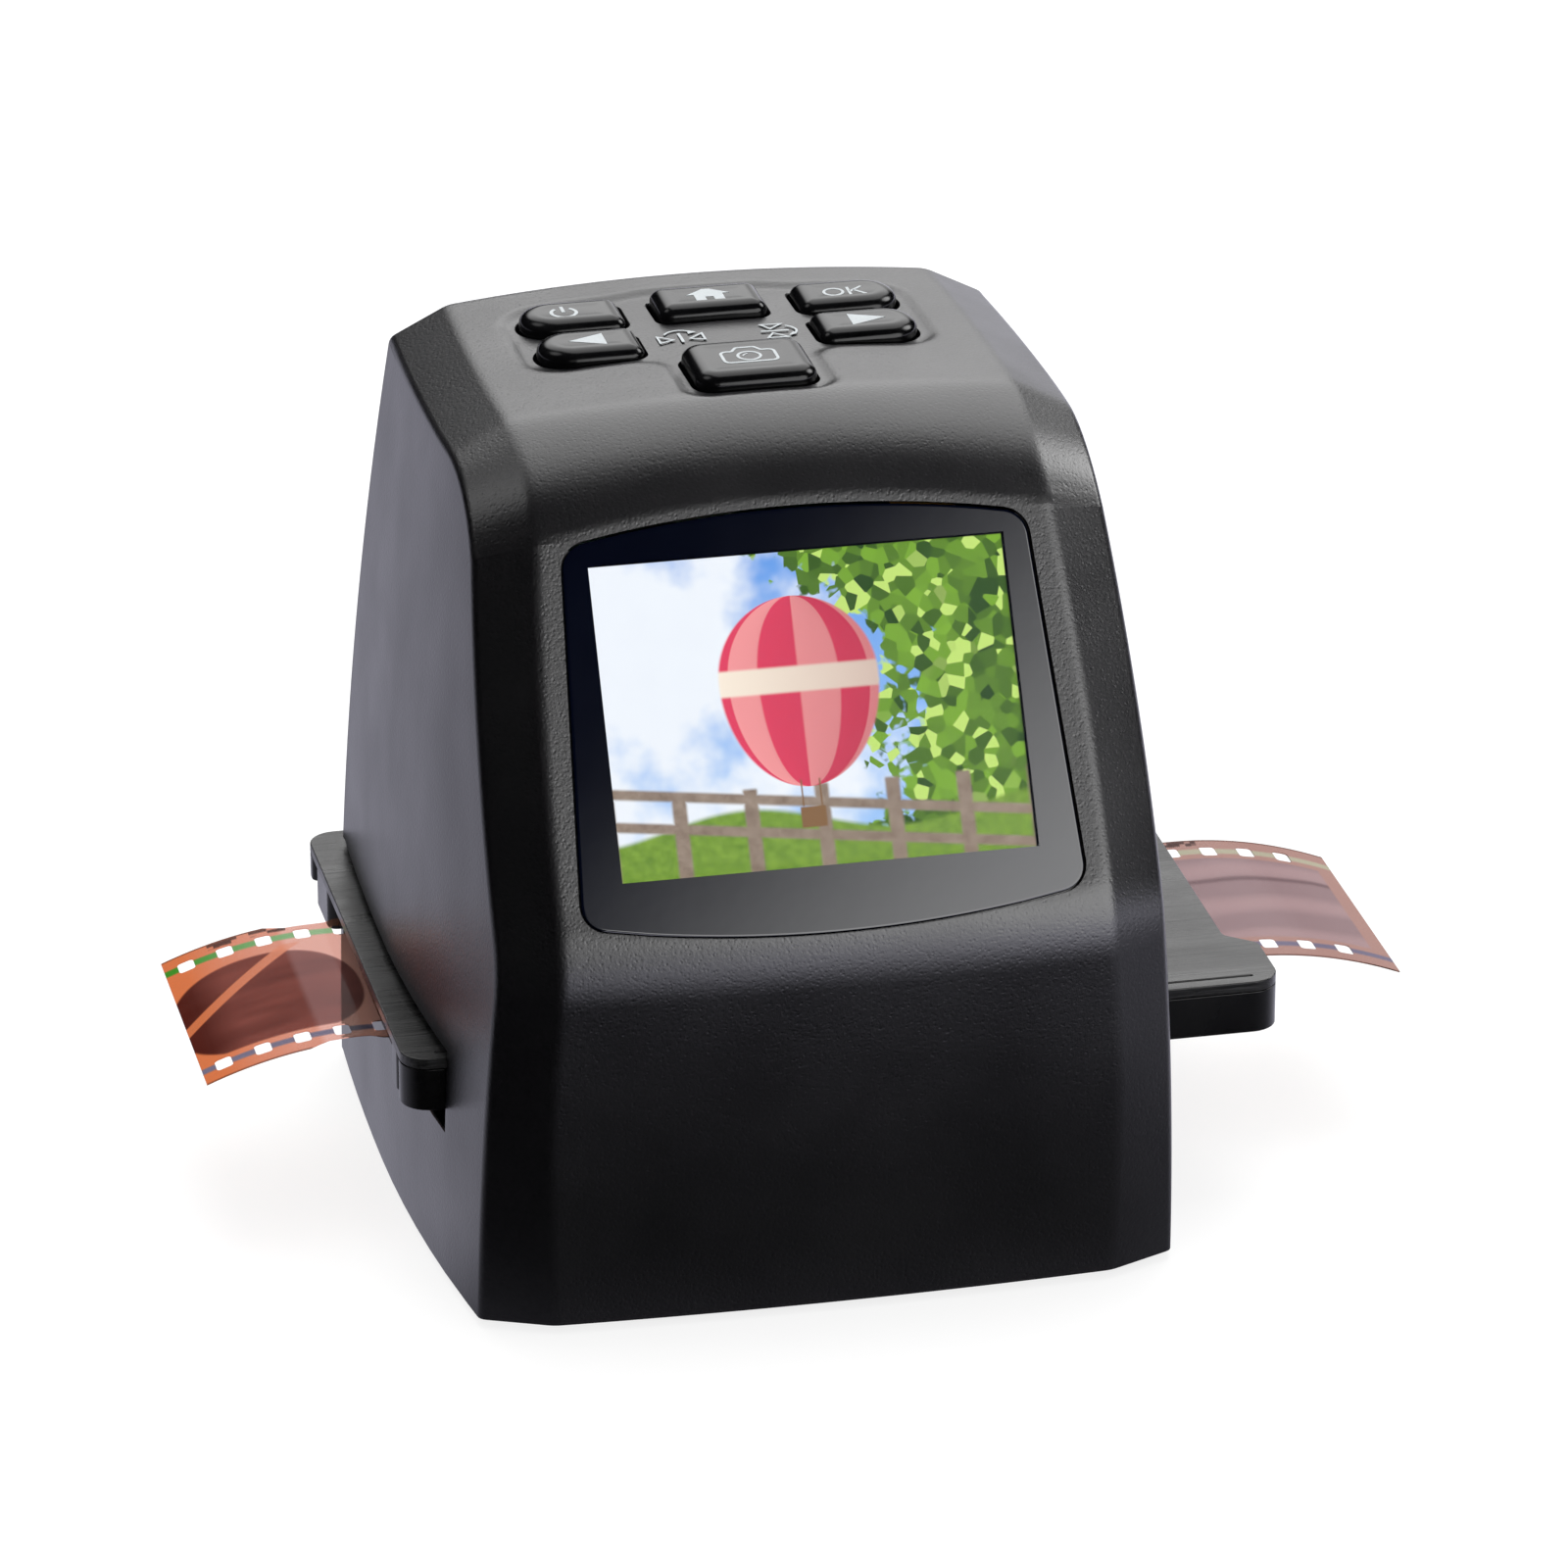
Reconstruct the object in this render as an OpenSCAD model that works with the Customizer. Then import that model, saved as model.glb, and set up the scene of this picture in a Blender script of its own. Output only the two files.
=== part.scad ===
// Desktop scanner for 35 mm film negatives, with a film tray that slides through the casing.
// X runs to the right, Y to the back and Z up. The origin is the centre of the base plate's
// underside, and the rubber feet stand foot_h below it. All sizes are in millimetres.

/* [Casing] */
// Wall thickness of the housing and the rear cover
wall = 2.2; // [1.8:0.1:2.6]
// Half width of the casing at its lower edge, at its widest place
side_half = 45.2; // [43.5:0.1:50]
// Radius of each side wall's curve over its height
side_rise_r = 568; // [500:4:900]
// Radius of each side wall's bow seen from above, in front of the widest place
side_bow_r = 294; // [250:2:500]
// Radius of each side wall's bow seen from above, behind the widest place
side_tail_r = 595; // [450:5:900]
// How far the widest place lies behind the origin
widest_y = 7; // [3:0.5:12]
// How far the lower front edge stands in front of the origin
front_low_y = 42; // [41:0.2:46]
// How far the chin's corner stands in front of the origin
chin_y = 44.6; // [44:0.2:48]
// Drop from the top to the chin's corner
chin_drop = 51.6; // [50.5:0.1:53]
// Radius that rounds the chin
chin_r = 18; // [10:1:22]
// How far the brow above the screen stands in front of the origin
brow_y = 20.8; // [20:0.2:22.4]
// Drop from the top to the brow
brow_drop = 8.9; // [8.3:0.1:9.5]
// Radius that rounds the brow
brow_r = 3; // [2.8:0.1:5]
// How far the corner between the brow and the top stands in front of the origin
crest_y = 12.9; // [12:0.2:14]
// Radius that rounds the front of the top
crest_r = 23; // [16:1:24]
// Height of the top along its two long edges
top_z = 98.1; // [92:0.1:106]
// Drop of the top from its front to the rear cover
top_drop = 1.1; // [0:0.1:1.6]
// Crown of the front across its width
front_crown = 1; // [0.8:0.1:1.4]
// Crown of the top across its width
top_crown = 1.7; // [1.2:0.1:2.2]
// Width of the sloped strip beside the front and the top, seen from the front
chamfer_w = 7.1; // [5:0.1:8]
// Width of that strip at the lower edge
chamfer_foot_w = 8.2; // [6:0.1:9]
// Drop of the strip from the front or the top towards the side
chamfer_d = 3.6; // [2.5:0.1:4.5]
// How far behind the origin the rear cover meets the housing
split_y = 38; // [37.6:0.1:39]
// Depth of the rear cover
rear_depth = 8.8; // [8.5:0.1:10]
// Width of the slope round the rear cover's back
rear_slope = 4; // [2:0.5:6]

/* [Base] */
// Thickness of the base plate
base_t = 2; // [1.6:0.1:2.6]
// Gap between the base plate and the housing's walls
base_gap = 0.3; // [0.1:0.05:0.5]
// How far the rubber feet stand below the base plate
foot_h = 1.2; // [0.8:0.1:2.5]
// Radius of a rubber foot
foot_r = 4.5; // [3:0.5:6]
// Depth of the recess that holds a foot
foot_seat = 0.6; // [0.3:0.1:1]
// Distance of the front feet and front screws from the casing's widest place
front_fix_inset = 16.2; // [15.7:0.1:20]
// How far the front screws stand in front of the origin
front_fix_y = 33.5; // [32:0.5:35]
// Distance of the rear screws from the casing's widest place
rear_fix_inset = 8.2; // [7.8:0.1:9]
// How far the rear screws stand behind the origin
rear_fix_y = 27; // [20:0.5:30]

/* [Screws] */
// Radius of a screw's shank
screw_r = 1; // [0.8:0.05:1.1]
// Radius of a screw's head
screw_head_r = 1.9; // [1.6:0.05:2.1]
// Height of a screw's head
screw_head_h = 1.2; // [0.8:0.1:1.4]
// Clearance round a screw's shank
screw_gap = 0.05; // [0.02:0.01:0.1]
// Radius of the boss round a screw
boss_r = 2.9; // [2.6:0.1:3.4]

/* [Screen] */
// How far the middle of the picture stands in front of the origin
screen_y = 29.6; // [29.2:0.1:30.2]
// Drop from the top to the middle of the picture
screen_drop = 28.1; // [27.7:0.1:28.6]
// Angle of the screen back from upright
screen_tilt = 30.5; // [30:0.1:31]
// Width of the picture
picture_w = 48.96; // [44:0.01:49.5]
// Height of the picture
picture_h = 36.72; // [33:0.01:37]
// Frame of the display glass round the picture
glass_rim = 1; // [0.6:0.1:1.2]
// Thickness of the display module
lcd_t = 2.2; // [1.6:0.1:2.4]
// Half width of the window at its top
window_top_half = 27.5; // [27:0.1:28]
// Half width of the window at its bottom
window_foot_half = 29.4; // [28.5:0.1:29.8]
// Height of the window above the middle of the picture
window_up = 23.3; // [23:0.1:23.6]
// Depth of the window below the middle of the picture
window_down = 26.3; // [25.5:0.1:26.6]
// Radius of the window's arched top
window_arch_r = 142; // [120:2:200]
// Radius of the window's arched bottom
window_sag_r = 155; // [120:5:200]
// Radius of the window's corners
window_corner_r = 3.2; // [2:0.2:4]
// Thickness of the window
window_t = 1; // [0.8:0.1:1.2]
// Gap round the window
window_gap = 0.25; // [0.15:0.05:0.4]
// Gap between the window and the display
lcd_gap = 0.2; // [0.1:0.05:0.4]

/* [Buttons] */
// Travel of a button
travel = 0.8; // [0.4:0.1:1]
// Height of a button above the top
key_rise = 1.3; // [1:0.1:2]
// Width of the four small buttons
key_w = 12.4; // [10:0.1:13]
// Depth of the buttons in the two rows
key_d = 8.4; // [7:0.1:9]
// Width of the home button
home_w = 13.2; // [11:0.1:14]
// Width of the capture button
capture_w = 14.6; // [12:0.1:15]
// Depth of the capture button
capture_d = 12.4; // [10:0.1:13]
// Distance of the small buttons from the middle
key_x = 16.8; // [16.2:0.1:18]
// Place of the rear row behind the origin
rear_row_y = 27.1; // [26.8:0.1:28]
// Distance from the rear row to the front row
row_pitch = 10.9; // [10.2:0.1:11.5]
// Place of the capture button behind the origin
capture_y = 4.2; // [4:0.1:5.2]
// Gap round a button
key_gap = 0.35; // [0.3:0.05:0.5]
// Radius of the corners of the buttons
key_corner_r = 1.6; // [1:0.1:2]
// Depth of the recess round the buttons
recess_d = 0.5; // [0.3:0.1:0.8]
// Width of the recess beyond the buttons
recess_rim = 2.4; // [1.5:0.1:2.6]
// Ledge of a button that stays under the top
key_ledge = 0.9; // [0.7:0.1:1]

/* [Film and tray] */
// Width of the film
film_w = 35; // [34.8:0.1:35.1]
// Thickness of the film
film_t = 0.16; // [0.12:0.02:0.3]
// Place of the film's middle behind the origin
film_y = 8.9; // [8:0.1:9.5]
// Height of the film above the base plate's underside
film_z = 23.2; // [23:0.1:23.6]
// Reach of the film to the left of the origin
film_left = 68.5; // [60:0.5:80]
// Reach of the film to the right of the origin
film_right = 78; // [70:0.5:85]
// Droop of the film's ends
film_droop = 4; // [2:0.1:4.2]
// Pitch of the film's perforations
perf_pitch = 4.75; // [4.7:0.01:4.8]
// Length of a perforation along the film
perf_l = 1.98; // [1.8:0.01:2.1]
// Width of a perforation across the film
perf_w = 2.79; // [2.7:0.01:2.9]
// Distance from the film's edge to the perforations
perf_edge = 2; // [1.9:0.05:2.1]
// Gap beside the film in its channel
film_gap = 0.3; // [0.2:0.05:0.5]
// Reach of the tray to the left of the origin
tray_left = 47.6; // [47:0.1:50]
// Reach of the tray to the right of the origin
tray_right = 58.6; // [54:0.2:62]
// Step in the tray's right end beside the film
tray_step = 3.6; // [2:0.1:4]
// How far the tray's front edge stands in front of the origin
tray_front = 24.6; // [24:0.1:25]
// How far the tray's rear edge stands behind the origin
tray_rear = 43.2; // [42.5:0.1:43.4]
// Height of the tray's underside
tray_z = 20.8; // [20.6:0.1:21.4]
// Thickness of the tray
tray_h = 6.6; // [6:0.1:6.9]
// Thickness of the tray's top plate
plate_t = 1.3; // [1:0.1:1.6]
// Radius of the tray's corners
tray_corner_r = 3.4; // [2:0.1:5]
// Length of the picture gate along the film
gate_l = 36.6; // [35.5:0.1:37]
// Width of the picture gate across the film
gate_w = 24.6; // [24:0.1:25]
// Border of the gate that carries the film
gate_rim = 2; // [1.5:0.1:3]
// Gap round the tray in its guides
tray_gap = 0.3; // [0.25:0.05:0.4]
// Free height above the tray in the slot
slot_over = 1.1; // [0.8:0.1:1.4]
// Free height below the tray in the slot
slot_under = 2.4; // [2:0.1:2.8]
// Free width in front of the tray in the slot
slot_ahead = 0.7; // [0.6:0.1:1.2]

/* [Optics] */
// Thickness of the tray guides
guide_t = 2; // [1.6:0.1:2.4]
// Distance of the tray guides' ends from the casing's widest place
guide_inset = 7.6; // [7.5:0.1:9]
// Wall of the light box and the light tunnel
box_wall = 1.5; // [1.2:0.1:2]
// Length of the light box inside
box_l = 42; // [40:0.5:46]
// Width of the light box inside
box_w = 30; // [28:0.5:34]
// Thickness of the diffuser
diffuser_t = 1.5; // [1:0.1:2]
// Gap between the sensor board and the main board
sensor_gap = 5.5; // [4:0.5:9]
// Radius of the lens barrel
lens_r = 7; // [5:0.1:8]
// Length of the lens barrel
lens_l = 13; // [10:0.5:14]
// Height of the sensor board above the lens holder
sensor_rise = 7; // [5:0.5:8]

/* [Boards] */
// Thickness of the circuit boards
board_t = 1.6; // [1.2:0.1:1.8]
// Distance of the main board's edge from the casing's widest place
main_inset = 14.2; // [13.7:0.1:15]
// Drop from the top to the main board's underside
main_drop = 23.1; // [22.1:0.1:25]
// Reach of the main board in front of the origin
main_front = 2; // [0:0.5:4]
// How far the buttons' board reaches past the outer buttons
keys_rim = 7.2; // [7:0.1:8.4]

/* [Hidden] */
$fa = 4;
$fs = 0.5;
clear = 0.3;
fine = 0.05;
chin_z = top_z - chin_drop;
brow_z = top_z - brow_drop;
screen_z = top_z - screen_drop;
main_z = top_z - main_drop;
main_half = side_half - main_inset;
keys_half = key_x + key_w / 2 + keys_rim;
guide_half = side_half - guide_inset;
front_fix_x = side_half - front_fix_inset;
rear_fix_x = side_half - rear_fix_inset;

// ---- plain geometry ----

function unit(v) = v / norm(v);

// Points between a and b, without its ends
function span(a, b, n) = [for (k = [1:n - 1]) a + (b - a) * k / n];

// Arc of radius r that rounds the corner b between a and c
function corner(a, b, c, r, n = 6) =
    let (u = unit(a - b), w = unit(c - b), half = acos(u * w) / 2)
    let (m = b + unit(u + w) * r / sin(half), p = b + u * r / tan(half))
    let (start = atan2(p[1] - m[1], p[0] - m[0]))
    let (turn = sign(cross(b - a, c - b)) * (180 - 2 * half))
    [for (k = [0:n]) m + r * [cos(start + turn * k / n), sin(start + turn * k / n)]];

// Corner b between a and c, moved in by d from both of its sides
function inset_corner(a, b, c, d) =
    let (u = unit(a - b), w = unit(c - b)) b + unit(u + w) * d / sin(acos(u * w) / 2);

// Closed outline whose corner i is rounded with radii[i]
function rounded(pts, radii, n = 6) =
    let (count = len(pts))
    [for (i = [0:count - 1])
        each radii[i] == 0 ? [pts[i]] :
            corner(pts[(i + count - 1) % count], pts[i], pts[(i + 1) % count], radii[i], n)];

// Tube round a route, with one ring of points at each of the route's points
function heading(route, i) =
    unit(route[min(i + 1, len(route) - 1)] - route[max(i - 1, 0)]);
function ring_side(route, i) =
    let (t = heading(route, i), v = i == 0 ? cross(t, [0.1, 0.2, 1]) : ring_side(route, i - 1))
    unit(v - t * (v * t));
module tube(route, r, sides = 8) {
    points = [for (i = [0:len(route) - 1])
        let (a = ring_side(route, i), b = cross(heading(route, i), a))
        for (k = [0:sides - 1]) route[i] + r * (a * cos(360 * k / sides) + b * sin(360 * k / sides))];
    end = len(points) - sides;
    faces = concat(
        [[for (k = [0:sides - 1]) k]],
        [for (i = [0:sides:end - 1], k = [0:sides - 1])
            let (m = (k + 1) % sides) each patch(i + m, i + k, i + k + sides, i + m + sides)],
        [[for (k = [sides - 1:-1:0]) end + k]]
    );
    polyhedron(points = points, faces = faces);
}

// Cuboid between two corners
module block(low, high) {
    translate(low) cube(high - low);
}

// The same at both sides of the middle plane
module both_sides() {
    children();
    mirror([1, 0, 0]) children();
}

// ---- the casing's form ----

rear_y = split_y + rear_depth;
chin = [-chin_y, chin_z];
brow = [-brow_y, brow_z];
crest = [-crest_y, top_z];
top_tail = [split_y, top_z - top_drop];
front_foot = [-front_low_y, 0];

chin_arc = corner(front_foot, chin, brow, chin_r, 5);
brow_arc = corner(chin, brow, crest, brow_r, 2);
crest_arc = corner(brow, crest, top_tail, crest_r, 7);

// Side view of the front and the top, from the lower front edge to the rear cover
profile = concat(
    [front_foot], span(front_foot, chin_arc[0], 4), chin_arc,
    span(chin_arc[5], brow_arc[0], 4), brow_arc, crest_arc,
    span(crest_arc[7], top_tail, 4), [top_tail]
);
last = len(profile) - 1;
side_n = 5;
face_n = 8;
columns = 2 * (side_n + 1) + face_n + 1;
// Top of the stretch of the rear edge that the rows of points share
side_top = top_tail[1] - chamfer_d - 10;

// Half width of the casing at p = [y, z]
function half_width(p) =
    let (away = p[0] - widest_y)
    side_half - p[1] * p[1] / 2 / side_rise_r
    - away * away / 2 / (away < 0 ? side_bow_r : side_tail_r);

// Width of the sloped strip at a height, wider at the foot
function strip_width(z) = chamfer_w + (chamfer_foot_w - chamfer_w) * max(0, 1 - z / 25);

// Direction out of the profile at station i
function outward(i) =
    i == 0 ? [-1, 0] :
    i == last ? [0, 1] :
    let (t = unit(profile[i + 1] - profile[i - 1])) [-t[1], t[0]];

function crown(n) = front_crown + (top_crown - front_crown) * pow(max(n[1], 0), 3);

// One row of points across the casing, from the left rear edge round the front to the right
function row(i, inset) =
    let (n = outward(i), p = profile[i] - n * inset, o = p - n * chamfer_d)
    let (face_half = half_width(o) - inset - strip_width(o[1]))
    let (rear = [split_y, side_top * i / last])
    let (side = [for (j = [0:side_n])
        let (q = rear + (o - rear) * j / side_n) [inset - half_width(q), q[0], q[1]]])
    let (face = [for (k = [0:face_n])
        let (t = 2 * k / face_n - 1, q = p + n * crown(n) * (1 - t * t))
        [face_half * t, q[0], q[1]]])
    concat(side, face, [for (j = [side_n:-1:0]) [-side[j][0], side[j][1], side[j][2]]]);

// Two triangles of a four-sided patch
function patch(a, b, c, d) = [[a, b, c], [a, c, d]];

// The housing's wall: an outer and an inner skin, joined along the lower and the rear edge
module casing_wall() {
    skin = (last + 1) * columns;
    far = columns - 1;
    outer = [for (i = [0:last]) each row(i, 0)];
    inner = [for (i = [0:last]) each row(i, wall)];
    faces = concat(
        [for (i = [0:last - 1], j = [0:far - 1])
            let (a = i * columns + j, d = a + columns) each patch(a, d, d + 1, a + 1)],
        [for (i = [0:last - 1], j = [0:far - 1])
            let (a = skin + i * columns + j, d = a + columns) each patch(a, a + 1, d + 1, d)],
        [for (j = [0:far - 1]) each patch(j, j + 1, skin + j + 1, skin + j)],
        [for (j = [0:far - 1])
            let (a = last * columns + j) each patch(a + 1, a, skin + a, skin + a + 1)],
        [for (i = [0:last - 1])
            let (a = i * columns, d = a + columns) each patch(d, a, skin + a, skin + d)],
        [for (i = [0:last - 1])
            let (a = i * columns + far, d = a + columns) each patch(a, d, skin + d, skin + a)]
    );
    polyhedron(points = concat(outer, inner), faces = faces);
}

// The casing's outline where the rear cover meets it, drawn in from the edge by inset
function rear_outline(inset) = concat(
    [for (i = [0:last]) let (p = row(i, inset)[0]) [p[0], max(p[2], inset)]],
    [for (j = [1:columns - 2]) let (p = row(last, inset)[j]) [p[0], p[2]]],
    [for (i = [last:-1:0]) let (p = row(i, inset)[columns - 1]) [p[0], max(p[2], inset)]]
);

// ---- where things lie ----

tray_top = tray_z + tray_h;
slot_low = tray_z - slot_under;
slot_top = tray_top + slot_over;
slot_front = tray_front + slot_ahead;
floor_z = slot_low - 0.2;
gate_half = gate_l / 2 + gate_rim;
channel_half = film_w / 2 + film_gap;
upper_z = tray_top + 1.5;

// The display's own frame: X to the right, Y up the slope, Z out of the screen
module at_screen() {
    translate([0, -screen_y, screen_z]) rotate([90 - screen_tilt, 0, 0]) children();
}

// The side view's point at v up the slope and depth out of the screen
function screen_point(v, depth) = [
    -screen_y + v * sin(screen_tilt) - depth * cos(screen_tilt),
    screen_z + v * cos(screen_tilt) + depth * sin(screen_tilt)
];

glass_w = picture_w + 2 * glass_rim;
glass_h = picture_h + 2 * glass_rim;
window_face = 1.1;
window_back = window_face - window_t;
lcd_face = window_back - lcd_gap;
ledge_back = window_back - 2.5;
lcd_back = lcd_face - lcd_t;

module window_outline(grow) {
    offset(r = window_corner_r + grow) offset(delta = -window_corner_r) intersection() {
        polygon([
            [-window_foot_half - 0.6, -window_down - 1], [window_foot_half + 0.6, -window_down - 1],
            [window_top_half - 0.3, window_up + 1], [0.3 - window_top_half, window_up + 1]
        ]);
        translate([0, window_up - window_arch_r]) circle(window_arch_r, $fn = 240);
        translate([0, window_sag_r - window_down]) circle(window_sag_r, $fn = 240);
    }
}

// Corners that carry the base plate's screws and feet
fix_points = [
    [-front_fix_x, -front_fix_y], [front_fix_x, -front_fix_y],
    [-rear_fix_x, rear_fix_y], [rear_fix_x, rear_fix_y]
];
foot_points = [
    [-front_fix_x, 9 - front_fix_y], [front_fix_x, 9 - front_fix_y],
    [7 - rear_fix_x, rear_fix_y + 4], [rear_fix_x - 7, rear_fix_y + 4]
];
boss_top = floor_z - 3;

// Places of the rear cover's screws, as [x, z]
low_screw = [side_half - 12.2, 10];
high_screw = [side_half - 15.2, top_z - 16.6];
rear_screw_points = [
    [-low_screw[0], low_screw[1]], low_screw, [-high_screw[0], high_screw[1]], high_screw
];

// A screw with its head's top at the origin, pointing down
module screw(shank) {
    translate([0, 0, -screw_head_h]) cylinder(r = screw_head_r, h = screw_head_h);
    translate([0, 0, -shank]) cylinder(r = screw_r, h = shank);
}

// ---- casing ----

// Ledge behind the window, with a narrower top bar that follows the bend at the brow
ledge_half = 30.2;
ledge_down = window_down + 0.7;
ledge_up = window_up + 2.3;
ledge_shoulder = 18;
ledge_top_half = 26;
ledge_lap = 4;
module screen_ledge() {
    at_screen()
        block([-ledge_half, -ledge_down, ledge_back], [ledge_half, ledge_shoulder, 0.4]);
    bend = inset_corner(chin, brow, crest, wall * 0.3);
    top_bar = [
        screen_point(ledge_shoulder - 1, ledge_back), bend + unit(chin - brow) * ledge_lap,
        bend, bend + unit(crest - brow) * (ledge_lap + 0.6), screen_point(ledge_up, ledge_back)
    ];
    translate([-ledge_top_half, 0, 0]) rotate([90, 0, 90])
        linear_extrude(2 * ledge_top_half) polygon(top_bar);
}

// Boss for a base plate screw, tied to the nearest wall
module fix_boss(p) {
    side = sign(p[0]);
    translate([p[0], p[1], base_t + fine]) cylinder(r = boss_r, h = boss_top - base_t - fine);
    if (p[1] < 0)
        block([p[0] - boss_r / 2, 1.6 - front_low_y, base_t + fine],
            [p[0] + boss_r / 2, p[1], boss_top]);
    else
        block([min(p[0], side * (side_half - 1.8)), p[1] - boss_r / 2, base_t + fine],
            [max(p[0], side * (side_half - 1.8)), p[1] + boss_r / 2, boss_top]);
}

// Shelf inside a side wall, from x_in out to the wall and between two heights
shelf_h = 3.5;
module shelf(x_in, y, low) {
    block([x_in, y - 3.5, low], [half_width([y, low + shelf_h]) - wall / 2, y + 3.5, low + shelf_h]);
}
guide_shelf_y = [-15, 27];
guide_shelf_z = upper_z + guide_t;
guide_hole_x = guide_half - 3;
main_shelf_y = [4, 33];
main_shelf_z = main_z - shelf_h;
main_hole_x = main_half - 3;

// Bosses under the top that carry the button board
board_z = top_z - wall - clear - key_ledge - travel - 8.2;
key_post_points = [for (x = [-1, 1], y = [-1, 31]) [x * (keys_half - 2.8), y]];
key_post_top = top_z - top_drop - 0.7;

// The rear rim of the housing carries bosses for the rear cover's screws
rear_boss_l = 9;
module rear_boss(p) {
    front = split_y - rear_boss_l;
    translate([p[0], front, p[1]]) rotate([-90, 0, 0]) cylinder(r = boss_r, h = rear_boss_l);
    edge = half_width([split_y - 5, p[1]]) - wall / 2;
    side = sign(p[0]);
    block([min(p[0], side * edge), front, p[1] - 1.5],
        [max(p[0], side * edge), split_y, p[1] + 1.5]);
}

// Outline of a button with its own radius on each side
function key_outline(w, d, r_left, r_right, grow) = rounded(
    [[-w / 2 - grow, -d / 2 - grow], [w / 2 + grow, -d / 2 - grow],
        [w / 2 + grow, d / 2 + grow], [-w / 2 - grow, d / 2 + grow]],
    [r_left + grow, r_right + grow, r_right + grow, r_left + grow]);

key_round = key_d / 2 - 0.1;
front_row_y = rear_row_y - row_pitch;
power_at = [-key_x, rear_row_y];
ok_at = [key_x, rear_row_y];
left_at = [-key_x, front_row_y];
right_at = [key_x, front_row_y];
home_at = [0, rear_row_y];
capture_at = [0, capture_y];
key_points = [power_at, home_at, ok_at, left_at, right_at, capture_at];

module power_shape(grow) polygon(key_outline(key_w, key_d, key_round, key_corner_r, grow));
module ok_shape(grow) polygon(key_outline(key_w, key_d, key_corner_r, key_round, grow));
module home_shape(grow) polygon(key_outline(home_w, key_d, key_corner_r, key_corner_r, grow));
module capture_shape(grow)
    polygon(key_outline(capture_w, capture_d, key_corner_r + 1, key_corner_r + 1, grow));

// The openings of the six buttons
module key_openings(grow) {
    translate(power_at) power_shape(grow);
    translate(left_at) power_shape(grow);
    translate(ok_at) ok_shape(grow);
    translate(right_at) ok_shape(grow);
    translate(home_at) home_shape(grow);
    translate(capture_at) capture_shape(grow);
}

// T-shaped recess round the buttons
recess_half = key_x + key_w / 2 + recess_rim;
recess_stem = capture_w / 2 + recess_rim;
recess_rear = rear_row_y + key_d / 2 + recess_rim;
recess_step = front_row_y - key_d / 2 - recess_rim;
recess_front = capture_y - capture_d / 2 - recess_rim;
module recess_outline() {
    polygon(rounded(
        [[-recess_half, recess_rear], [-recess_half, recess_step], [-recess_stem, recess_step],
            [-recess_stem, recess_front], [recess_stem, recess_front],
            [recess_stem, recess_step], [recess_half, recess_step], [recess_half, recess_rear]],
        [6, 6, 4, 4, 4, 4, 6, 6]));
}

top_face_half = half_width([0, top_z - chamfer_d]) - chamfer_w;
top_arc_r = top_face_half * top_face_half / 2 / top_crown;
top_slope = atan2(top_drop, split_y);
module recess_cut() {
    difference() {
        translate([0, 0, top_z - 6]) linear_extrude(20) recess_outline();
        translate([0, 0, top_z]) rotate([90 - top_slope, 0, 0])
            translate([0, top_crown - top_arc_r, -60])
                cylinder(r = top_arc_r - recess_d, h = 100, $fn = 360);
    }
}

module tray_slot(y_end) {
    block([-60, -slot_front, slot_low], [60, y_end, slot_top]);
}

module front_housing() {
    color([0.14, 0.14, 0.15]) difference() {
        union() {
            casing_wall();
            screen_ledge();
            for (p = fix_points) fix_boss(p);
            for (p = rear_screw_points) rear_boss(p);
            for (y = guide_shelf_y) both_sides() shelf(guide_half - 6, y, guide_shelf_z);
            for (y = main_shelf_y) both_sides() shelf(main_half - 6, y, main_shelf_z);
            for (p = key_post_points)
                translate([p[0], p[1], board_z + board_t])
                    cylinder(r = boss_r, h = key_post_top - board_z - board_t);
        }
        tray_slot(split_y + 1);
        at_screen() {
            translate([0, 0, window_back]) linear_extrude(12) window_outline(window_gap);
            block([-glass_w / 2 - lcd_gap, -glass_h / 2 - lcd_gap, -8],
                [glass_w / 2 + lcd_gap, glass_h / 2 + lcd_gap, 8]);
            for (p = lcd_screw_points)
                translate([p[0], p[1], ledge_back - 1])
                    cylinder(r = 0.7 + screw_gap, h = 1 + lcd_screw_reach);
        }
        translate([0, 0, board_z + board_t + 1]) linear_extrude(30) key_openings(key_gap);
        recess_cut();
        for (p = fix_points) translate([p[0], p[1], 0])
            cylinder(r = screw_r + screw_gap, h = boss_top - 1.5);
        for (p = rear_screw_points) translate([p[0], split_y - rear_boss_l + 1.5, p[1]])
            rotate([-90, 0, 0]) cylinder(r = screw_r + screw_gap, h = rear_boss_l + 1);
        for (y = guide_shelf_y) both_sides()
            translate([guide_hole_x, y, upper_z]) cylinder(r = screw_r + screw_gap, h = 10);
        for (y = main_shelf_y) both_sides()
            translate([main_hole_x, y, main_z - 3]) cylinder(r = screw_r + screw_gap, h = 4);
        for (p = key_post_points) translate([p[0], p[1], board_z])
            cylinder(r = screw_r + screw_gap, h = 6.5);
    }
}

// Solid form of the rear cover from y_start on, drawn in by inset
module rear_form(inset, y_start) {
    hull() {
        translate([0, split_y + 1, 0]) rotate([90, 0, 0])
            linear_extrude(split_y + 1 - y_start) polygon(rear_outline(inset));
        translate([0, rear_y - inset, 0]) rotate([90, 0, 0])
            linear_extrude(0.5) polygon(rear_outline(inset + rear_slope));
    }
}

// Sockets on the main board, with their mouths in the rear cover
main_rear = rear_y - wall - 1;
main_top = main_z + board_t;
mouth_y = rear_y - 0.6;
usb_size = [7.7, 9.2, 3.9];
sd_size = [24.6, 28, 2.9];
jack_r = 3;
jack_x = main_half - 8;
usb_x = jack_x - 11;
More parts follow.
